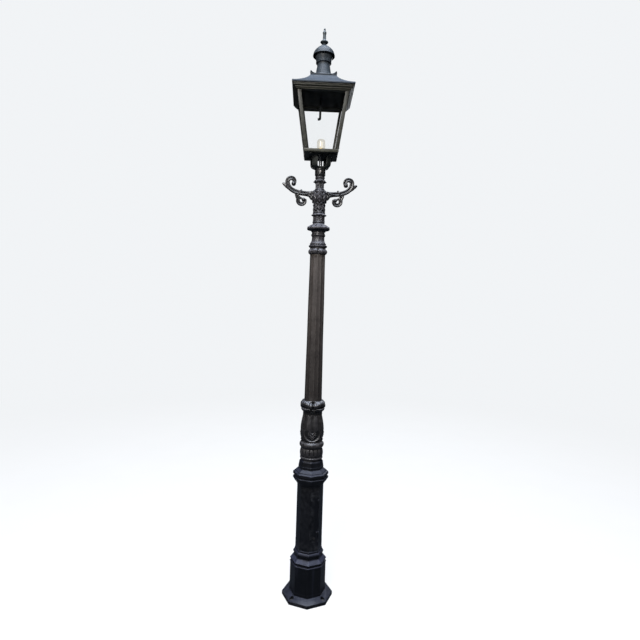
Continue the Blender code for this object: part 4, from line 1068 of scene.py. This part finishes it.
def root_leaf(side, face):
    """A lobed leaf along one face of the arm near its root."""
    line = curve_through(ROOT_LINE)
    wide = stations(line, [0, 0.25, 0.6, 1], [0.0150, 0.0130, 0.0090, 0.0030])
    wide = wide * (0.82 + 0.18 * np.abs(np.cos(np.linspace(0, 1, len(line)) * 9)))
    leaf = sweep("arm_root", line, wide, 0.0050, cols=20, side=side)
    leaf.data.transform(Matrix.Translation((0, face * 0.0115, 0)))
    return leaf


def scroll_arm(node, side):
    tip, tail, spike = (curve_through(line) for line in (TIP_LINE, TAIL_LINE, SPIKE_LINE))
    pieces = [
        main_scroll(side),
        ball("arm_knob", (side * 0.1618, 0, 2.5338), (0.0142, 0.0130, 0.0142)),
        lower_scroll(side),
        ball("arm_low_knob", (side * 0.0975, 0, 2.4370), (0.0128, 0.0118, 0.0128)),
        # leaf tip outside the main scroll
        sweep("arm_tip", tip, stations(tip, [0, 0.4, 0.75, 1], [0.0220, 0.0252, 0.0205, 0.0090]),
              stations(tip, [0, 0.5, 1], [0.0150, 0.0140, 0.0100]), side=side),
        # tail inside the lower scroll
        sweep("arm_tail", tail, stations(tail, [0, 1], [0.0150, 0.0115]),
              stations(tail, [0, 1], [0.0165, 0.0130]), side=side),
        # spike over the arm's faces
        sweep("arm_spike", spike, stations(spike, [0, 0.5, 1], [0.0135, 0.0140, 0.0100]),
              stations(spike, [0, 0.5, 0.85, 1], [0.0240, 0.0270, 0.0210, 0.0130]),
              groove=0.0016, side=side),
        ball("arm_bead", (side * 0.0545, 0, 2.4690), (0.0050, 0.0165, 0.0200)),
        root_leaf(side, -1),
        root_leaf(side, 1),
    ]
    finish(merged(node + "_skin", pieces, voxel=0.00095), "arm", node, sharp=0)


scroll_arm("scroll_arm_left", -1)
scroll_arm("scroll_arm_right", 1)

# ============================================================ spigot and frog
SPIGOT_COLLAR = [
    (0.0318, 2.6287), (0.0332, 2.627), (0.0332, 2.6215), (0.0318, 2.62, 0.0004),
    (0.0318, 2.618, 0.0004), (0.033, 2.6165), (0.033, 2.5985), (0.0316, 2.597, 0.0004),
    (0.0316, 2.595, 0.0004), (0.033, 2.5935), (0.033, 2.59), (0.031, 2.5875),
    (0.0295, 2.5862), (0.029, 2.5833)]
turned("spigot_collar", "arm", bored(SPIGOT_COLLAR, bore=UPPER_BORE), cols=144, sharp=45)
refine("set_screw_front", "steel", width=0.0005)
refine("set_screw_back", "steel", width=0.0005)

FROG_HUB = [(0.033, 2.642), (0.0362, 2.6395), (0.037, 2.6355), (0.0362, 2.6315),
            (0.0335, 2.6293)]
# A leg's midline, as (distance from the axis, height)
FROG_LEG = [(0.029, 2.635), (0.04, 2.6348), (0.049, 2.6368), (0.0562, 2.6422), (0.06, 2.6515),
            (0.0612, 2.665), (0.0615, 2.68), (0.062, 2.691), (0.064, 2.699), (0.071, 2.703),
            (0.082, 2.7034), (0.112, 2.7034)]


def frog_leg(degrees):
    line = curve_through(FROG_LEG)
    depth = stations(line, [0, 0.2, 0.35, 0.7, 0.85, 1.0],
                     [0.0260, 0.0360, 0.0440, 0.0460, 0.0360, 0.0200])
    leg = sweep("frog_leg", line, 0.0078, depth, cols=36)
    points = np.zeros(len(leg.data.vertices) * 3)
    leg.data.vertices.foreach_get("co", points)
    x, y, z = points.reshape(-1, 3).T
    angle = math.radians(degrees)
    spun = np.column_stack([x * math.cos(angle) - y * math.sin(angle),
                            x * math.sin(angle) + y * math.cos(angle), z])
    leg.data.vertices.foreach_set("co", spun.ravel())
    return leg


hub = lathe("frog_hub", bored(FROG_HUB, step=0.002, bore=UPPER_BORE), cols=96)
legs = [frog_leg(53 + 90 * k) for k in range(4)]
frog = merged("lantern_frog_skin", [hub, *legs], voxel=0.0011)
finish(frog, "underside", "lantern_frog", sharp=0)

# ============================================================ lantern body
# The sides lean out from a half width of 0.102 at 2.708 to 0.153 at 3.055.
GLAZING_LOW, GLAZING_TOP = 2.708, 3.055
HALF_LOW, HALF_TOP = 0.102, 0.153
SLOPE = (HALF_TOP - HALF_LOW) / (GLAZING_TOP - GLAZING_LOW)
LIFT = 0.0085      # how much higher the door's upper edge is set
DOOR_TOP = 3.0520


def half_at(z):
    """The lantern's half width at a height."""
    return HALF_LOW + SLOPE * (z - GLAZING_LOW)


def lifted(obj, low, high):
    """Moves the vertices between two heights up the lean of the +Y side."""
    for vertex in obj.data.vertices:
        if low < vertex.co.z < high:
            vertex.co.z += LIFT
            vertex.co.y += LIFT * SLOPE


refine("lantern_base_frame", "lantern", width=0.0012, segments=3)
refine("lantern_tray", "underside")
for name in ("front_left", "front_right", "back_left", "back_right"):
    refine(f"corner_bar_{name}", "bars", width=0.0010, segments=3)
# The hinge knuckles, outside these heights, stay on their pin.
lifted(refine("lantern_door_frame", "bars", width=0.0008), 3.0200, DOOR_TOP - 0.0040)
refine("lantern_door_latch", "bronze", width=0.0005)
refine("lantern_hinge_pin", "steel", width=0.0003)

LANTERN_CORNICE = [
    (0.179, 3.0857), (0.1797, 3.084, 0.0006), (0.1797, 3.0812, 0.0008), (0.177, 3.08, 0.0005),
    (0.1748, 3.0796, 0.0004), (0.1748, 3.0782, 0.0004), (0.1762, 3.0774, 0.0005),
    (0.176, 3.0752), (0.1742, 3.0722), (0.1712, 3.0704), (0.1682, 3.07, 0.0004),
    (0.1655, 3.0694, 0.0004), (0.1655, 3.0678, 0.0004), (0.1672, 3.067, 0.0004),
    (0.1668, 3.0648), (0.1652, 3.0618), (0.1625, 3.06), (0.16, 3.059, 0.0005),
    (0.1588, 3.0552, 0.0006), (0.131, 3.0552), (0.131, 3.0857)]
prism("lantern_cornice", "lantern", fillet(LANTERN_CORNICE, 0.0006, 2), sides=4,
      rounding=0.0010, arc=3)
refine("ceiling_plate", "inside", width=0.0004)

# ============================================================ roof and crown
ROOF_TOP = [(0.079, 3.1796), (0.0812, 3.1745), (0.0868, 3.166), (0.0962, 3.1555),
            (0.1092, 3.1435), (0.1248, 3.1315), (0.1432, 3.119), (0.1622, 3.108),
            (0.1788, 3.0995), (0.1838, 3.0974)]
ROOF_EAVES = [(0.185, 3.0958), (0.185, 3.0875, 0.0015), (0.1838, 3.0863, 0.0004),
              (0.18, 3.0863, 0.0004)]
ROOF_UNDER = [(0.18, 3.0918), (0.1772, 3.0945), (0.1602, 3.103), (0.1412, 3.114),
              (0.1228, 3.1262), (0.1072, 3.1382), (0.0942, 3.1502), (0.0848, 3.1608),
              (0.079, 3.17), (0.0745, 3.1796)]
prism("lantern_roof", "roof",
      np.vstack([curve_through(ROOF_TOP, 5), fillet(ROOF_EAVES, closed=False),
                 curve_through(ROOF_UNDER, 3)]), sides=4, rounding=0.0016, arc=4)

CROWN_PLATE = [(0.0806, 3.1803, 0.0012), (0.0806, 3.1872, 0.0012), (0.0786, 3.1884, 0.0004),
               (0.076, 3.19, 0.0006), (0.033, 3.19), (0.033, 3.1803)]
prism("crown_plate", "chimney", fillet(CROWN_PLATE, 0.0006), sides=4, rounding=0.0035)

# Stations of an upturned ear, outwards: distance from the axis, height, half width
EAR = [(0.093, 3.19, 0.016), (0.099, 3.1908, 0.0135), (0.104, 3.1932, 0.01),
       (0.1072, 3.1978, 0.0062), (0.1086, 3.204, 0.0022)]


def crown_ear(k):
    """An upturned ear at one corner of the crown plate."""
    out = heading(math.radians(45 + 90 * k))
    across = np.array([-out[1], out[0]])
    front = np.array([[(*(out * distance + across * half * share), z)
                       for share in (-1, -0.5, 0, 0.5, 1)] for distance, z, half in EAR])
    back = front + np.array([*(out * 0.0016), 0.0]) - np.array([0, 0, 0.0011])
    return sheet_solid("ear", front, back)


finish(gathered("crown_ears", [crown_ear(k) for k in range(4)]), "chimney")


# ============================================================ chimney, cap and finial
def neck_seam(angle, radius, z):
    return 0.0006 * (np.abs(wrap(angle - 2.2)) < 0.05), 0, None


CHIMNEY_NECK = [
    (0.0455, 3.29), (0.0474, 3.289), (0.048, 3.286), (0.0474, 3.2828), (0.044, 3.2812, 0.0005),
    (0.04, 3.28), (0.0395, 3.276), (0.0398, 3.269), (0.0408, 3.26), (0.0424, 3.25),
    (0.044, 3.24), (0.0456, 3.23), (0.0472, 3.22), (0.0494, 3.209), (0.0524, 3.1995),
    (0.0552, 3.1945), (0.0575, 3.1928), (0.0575, 3.1903), (0.0375, 3.1903), (0.0372, 3.215),
    (0.0372, 3.29)]
CHIMNEY_TUBE = [
    (0.053, 3.352), (0.0535, 3.34), (0.0532, 3.328), (0.0522, 3.318), (0.0504, 3.309),
    (0.0484, 3.301), (0.0474, 3.296), (0.0474, 3.2904), (0.043, 3.2904), (0.0432, 3.297),
    (0.046, 3.309), (0.0484, 3.32), (0.0494, 3.332), (0.0496, 3.352)]
turned("chimney_neck", "chimney", dense(fillet(CHIMNEY_NECK, 0.0008), 0.004), cols=160,
       relief=neck_seam, relief_from=0.0405, sharp=45)
turned("chimney_tube", "chimney", dense(fillet(CHIMNEY_TUBE, 0.0005, 2), 0.004), cols=144,
       sharp=45)


def cap_seams(angle, radius, z):
    away = around(angle, 8) * np.maximum(radius, 0.01)
    return 0.0004 * bell(away, 0.0014) * smooth(z, 3.338, 3.345), 0, None


CAP_OUTSIDE = [(0.001, 3.3986), (0.008, 3.398), (0.0135, 3.396), (0.02, 3.3912),
               (0.029, 3.3845), (0.039, 3.377), (0.048, 3.369), (0.056, 3.36), (0.0618, 3.35),
               (0.0655, 3.34)]
CAP_RIM = [(0.0662, 3.3345), (0.0676, 3.3318), (0.068, 3.329), (0.0668, 3.3268),
           (0.0648, 3.3272)]
CAP_INSIDE = [(0.0636, 3.332), (0.0615, 3.342), (0.057, 3.352), (0.049, 3.362), (0.038, 3.371),
              (0.025, 3.38), (0.012, 3.386), (0.001, 3.388)]
turned("dome_cap", "dome",
       np.vstack([curve_through(CAP_OUTSIDE), curve_through(CAP_RIM, 4),
                  curve_through(CAP_INSIDE, 4)]),
       cols=192, relief=cap_seams, relief_from=0.012, poles=True)


def finial_relief(angle, radius, z):
    """Eight petals on the crown at its foot, ribs on the stem."""
    petals = 0.0022 * (lobes(angle, 4, 1) - 0.5) * bell(z - 3.4150, 0.0070)
    ribs = 0.0004 * np.cos(8 * angle) * between(z, 3.43, 3.438, 3.452, 3.458)
    return petals * smooth(radius, 0.014, 0.022) + ribs, 0, None


FINIAL = [
    (0.0006, 3.5016), (0.0038, 3.5008), (0.0056, 3.498), (0.006, 3.492), (0.0064, 3.486),
    (0.0084, 3.4825), (0.0106, 3.479), (0.0116, 3.473), (0.011, 3.467), (0.0098, 3.4625),
    (0.0092, 3.458), (0.0094, 3.448), (0.0099, 3.438), (0.0106, 3.4315), (0.013, 3.4275),
    (0.017, 3.424), (0.0218, 3.42), (0.0238, 3.416), (0.0228, 3.412), (0.0185, 3.4085),
    (0.014, 3.406), (0.0118, 3.403), (0.0125, 3.4005), (0.0125, 3.3994), (0.0006, 3.3993)]
turned("finial", "finial", curve_through(FINIAL, 5), cols=96, relief=finial_relief,
       relief_from=0, poles=True)

# ============================================================ lantern rivets
RIVET_RADIUS = 0.0026
rivets = []
for turn in (0.0, math.pi / 2, math.pi, -math.pi / 2):
    spin = Matrix.Rotation(turn, 4, "Z")
    for side in (-1, 1):
        spots = [(half_at(z) - 0.0110, z) for z in (2.7350, 3.0440)] + [(0.0900, 2.7170)]
        for x, z in spots:
            spot = spin @ Vector((side * x, -half_at(z), z))
            rivets.append(ball("rivet", spot, (RIVET_RADIUS,) * 3, cols=12, rows=8))
finish(gathered("lantern_rivets", rivets), "lantern")

# ============================================================ glass and lamp
for node in ("glass_front", "glass_left", "glass_right"):
    refine(node, "glass", width=0.0003, segments=1)
lifted(refine("lantern_door_glass", "glass", width=0.0003, segments=1), 2.9500, 3.2)

# The hanger rod's midline, as (x, z)
HANGER_ROD = [(-0.0115, 3.0697), (-0.0115, 3.03), (-0.0115, 2.97), (-0.0115, 2.947),
              (-0.0122, 2.9415), (-0.015, 2.9385), (-0.02, 2.9378), (-0.0262, 2.9376)]
finish(sweep("hanger_rod_skin", curve_through(HANGER_ROD), 0.0138, 0.0130, cols=24), "inside",
       "hanger_rod", sharp=40)

LAMP_HOLDER = [
    (0.02, 2.756), (0.024, 2.753), (0.0242, 2.75), (0.0232, 2.748, 0.0004), (0.0232, 2.74),
    (0.0242, 2.738), (0.0242, 2.733), (0.027, 2.73), (0.03, 2.724), (0.03, 2.7167),
    (0.0112, 2.7167), (0.0112, 2.7324), (0.008, 2.734), (0.008, 2.756)]
turned("lamp_holder", "brass", dense(fillet(LAMP_HOLDER, 0.0006, 2), 0.003), cols=96, sharp=45)

LAMP_OUTER_TOP = [(0.001, 2.8142), (0.01, 2.8138), (0.0168, 2.8122), (0.0214, 2.8085),
                  (0.024, 2.803), (0.025, 2.796), (0.0252, 2.788)]
LAMP_WALL = [(0.0254, 2.762), (0.025, 2.758), (0.024, 2.7565), (0.0212, 2.7565),
             (0.0222, 2.76), (0.023, 2.766), (0.023, 2.788)]
LAMP_INNER_TOP = [(0.0226, 2.7955), (0.0214, 2.8015), (0.019, 2.8062), (0.015, 2.8092),
                  (0.009, 2.8108), (0.001, 2.8112)]
turned("lamp_glass", "lamp_glass",
       np.vstack([curve_through(LAMP_OUTER_TOP), LAMP_WALL, curve_through(LAMP_INNER_TOP, 5)]),
       cols=96, poles=True)


def element_relief(angle, radius, z):
    return 0.0005 * np.cos(10 * angle) * smooth(z, 2.764, 2.770), 0, None


LAMP_ELEMENT = [
    (0.0008, 2.8005), (0.005, 2.7995), (0.0088, 2.7965), (0.011, 2.79), (0.0114, 2.778),
    (0.0112, 2.766), (0.0085, 2.762), (0.0062, 2.759), (0.006, 2.75), (0.006, 2.7424),
    (0.0008, 2.7421)]
turned("lamp_element", "lamp", curve_through(LAMP_ELEMENT, 5), cols=64, relief=element_relief,
       relief_from=0, poles=True)

# ============================================================ inside the post
for node, mat, width, segments in (
        ("core_tube", "zinc", 0.0004, 2), ("riser_pipe", "zinc", 0.0004, 2),
        ("service_board", "board", 0.0010, 2), ("cutout_base", "plastic", 0.0012, 3),
        ("fuse_carrier", "plastic", 0.0012, 3), ("earth_stud", "brass", 0.0005, 2),
        ("supply_cable", "rubber", 0.0006, 2), ("lamp_cable", "rubber", 0.0004, 2)):
    refine(node, mat, width, segments)

# ============================================================ studio
BACKDROP, BACKDROP_STRENGTH = (0.93, 0.95, 0.97), 0.95
FLOOR_RINGS = [0.35, 0.8, 1.6, 3.0, 5.5, 9.0, 16.0, 40.0]   # radii
FLOOR_COLS = 64
FLOOR_Z = -0.0005
scene = bpy.context.scene


def pale_floor():
    """Pale to the camera and dark to other rays, so that it throws little light back."""
    nodes = Nodes(bpy.data.materials.new("pale_floor"))
    to_camera = nodes.add("LightPath").outputs["Is Camera Ray"]
    patches = nodes.ramp(nodes.noise(scale=3, detail=3, rough=0.5), over=(0.3, 0.7))
    pale = nodes.mix(patches, (0.850, 0.855, 0.860), (0.862, 0.866, 0.871))
    seen = nodes.blend(0.78, nodes.make("BsdfDiffuse", Color=pale),
                       nodes.make("Emission", Color=pale, Strength=1.16))
    dim = nodes.make("BsdfDiffuse", Color=(0.050, 0.056, 0.066))
    shader = nodes.blend(to_camera, dim, seen)
    # far out the floor takes the backdrop's own tone, so that no horizon shows
    distance = nodes.add("VectorMath")
    distance.operation = "LENGTH"
    nodes.put(distance, 0, nodes.coord)
    far = nodes.ramp(distance.outputs["Value"], over=(1.6, 7.0))
    haze = nodes.make("Emission", Color=BACKDROP, Strength=BACKDROP_STRENGTH)
    return nodes.done(nodes.blend(nodes.times(far, to_camera), shader, haze))


def studio_floor():
    """A disc of rings about a middle point."""
    turns = np.arange(FLOOR_COLS) / FLOOR_COLS * TAU
    points = [(r * math.cos(t), r * math.sin(t), FLOOR_Z) for r in FLOOR_RINGS for t in turns]
    points.append((0.0, 0.0, FLOOR_Z))
    faces = []
    for start in range(0, (len(FLOOR_RINGS) - 1) * FLOOR_COLS, FLOOR_COLS):
        outer = start + FLOOR_COLS
        for j in range(FLOOR_COLS):
            after = (j + 1) % FLOOR_COLS
            faces.append((start + j, outer + j, outer + after, start + after))
    faces += [(len(points) - 1, j, (j + 1) % FLOOR_COLS) for j in range(FLOOR_COLS)]
    mesh = bpy.data.meshes.new("studio_floor")
    mesh.from_pydata(points, [], faces)
    mesh.update()
    floor = bpy.data.objects.new("studio_floor", mesh)
    scene.collection.objects.link(floor)
    mesh.shade_smooth()
    mesh.materials.append(pale_floor())


def studio_world():
    """A bright backdrop to the camera, a faint blue light to everything else."""
    scene.world = bpy.data.worlds.new("studio_world")
    nodes = Nodes(scene.world, "OutputWorld")
    ambient = nodes.make("Background", Color=(0.72, 0.84, 1.0), Strength=0.018)
    bright = nodes.make("Background", Color=BACKDROP, Strength=BACKDROP_STRENGTH)
    to_camera = nodes.add("LightPath").outputs["Is Camera Ray"]
    nodes.done(nodes.blend(to_camera, ambient, bright))


def area(name, spot, aim_z, size, power, colour, size_y=None):
    """An area light aimed at a height on the post's axis."""
    data = bpy.data.lights.new(name, "AREA")
    data.energy = power
    data.color = colour
    data.shape = "RECTANGLE"
    data.size = size
    data.size_y = size_y or size
    light = bpy.data.objects.new(name, data)
    light.location = spot
    aim = Vector((0, 0, aim_z)) - Vector(spot)
    light.rotation_euler = aim.to_track_quat("-Z", "Y").to_euler()
    scene.collection.objects.link(light)
    return light


studio_floor()
studio_world()
WARM = (1.0, 0.96, 0.92)
area("overhead", (0.0, -1.2, 7.5), aim_z=1.5, size=5.0, power=900, colour=(0.76, 0.85, 1.0))
area("left_side", (-4.6, -2.2, 2.6), aim_z=1.7, size=0.9, power=24, colour=WARM, size_y=4.0)
area("right_side", (4.6, -2.2, 2.6), aim_z=1.7, size=0.9, power=14, colour=WARM, size_y=4.0)
area("front_high", (-1.6, -5.5, 5.2), aim_z=2.3, size=1.8, power=300, colour=(1.0, 0.97, 0.94))
behind = area("behind", (1.8, 5.2, 4.6), aim_z=1.8, size=3.0, power=110,
              colour=(0.90, 0.95, 1.0))
behind.visible_camera = False
scene.view_settings.view_transform = "Standard"

# ============================================================ camera
CAM_X, CAM_Y, CAM_Z = -0.065, -2.96, 1.82
TURN_RIGHT = math.radians(0.4554799)   # aim to the right of the post's axis
ROLL = math.radians(1.82)

cam_data = bpy.data.cameras.new("camera")
cam_data.sensor_width = 36.0
cam_data.lens = 26.8875
cam_data.shift_y = -0.03125
cam = bpy.data.objects.new("camera", cam_data)
scene.collection.objects.link(cam)
yaw = math.atan2(-CAM_X, -CAM_Y) + TURN_RIGHT
look = Vector((math.sin(yaw), math.cos(yaw), 0.0))
cam.matrix_world = (Matrix.Translation((CAM_X, CAM_Y, CAM_Z))
                    @ look.to_track_quat("-Z", "Y").to_matrix().to_4x4()
                    @ Matrix.Rotation(ROLL, 4, "Z"))
scene.camera = cam
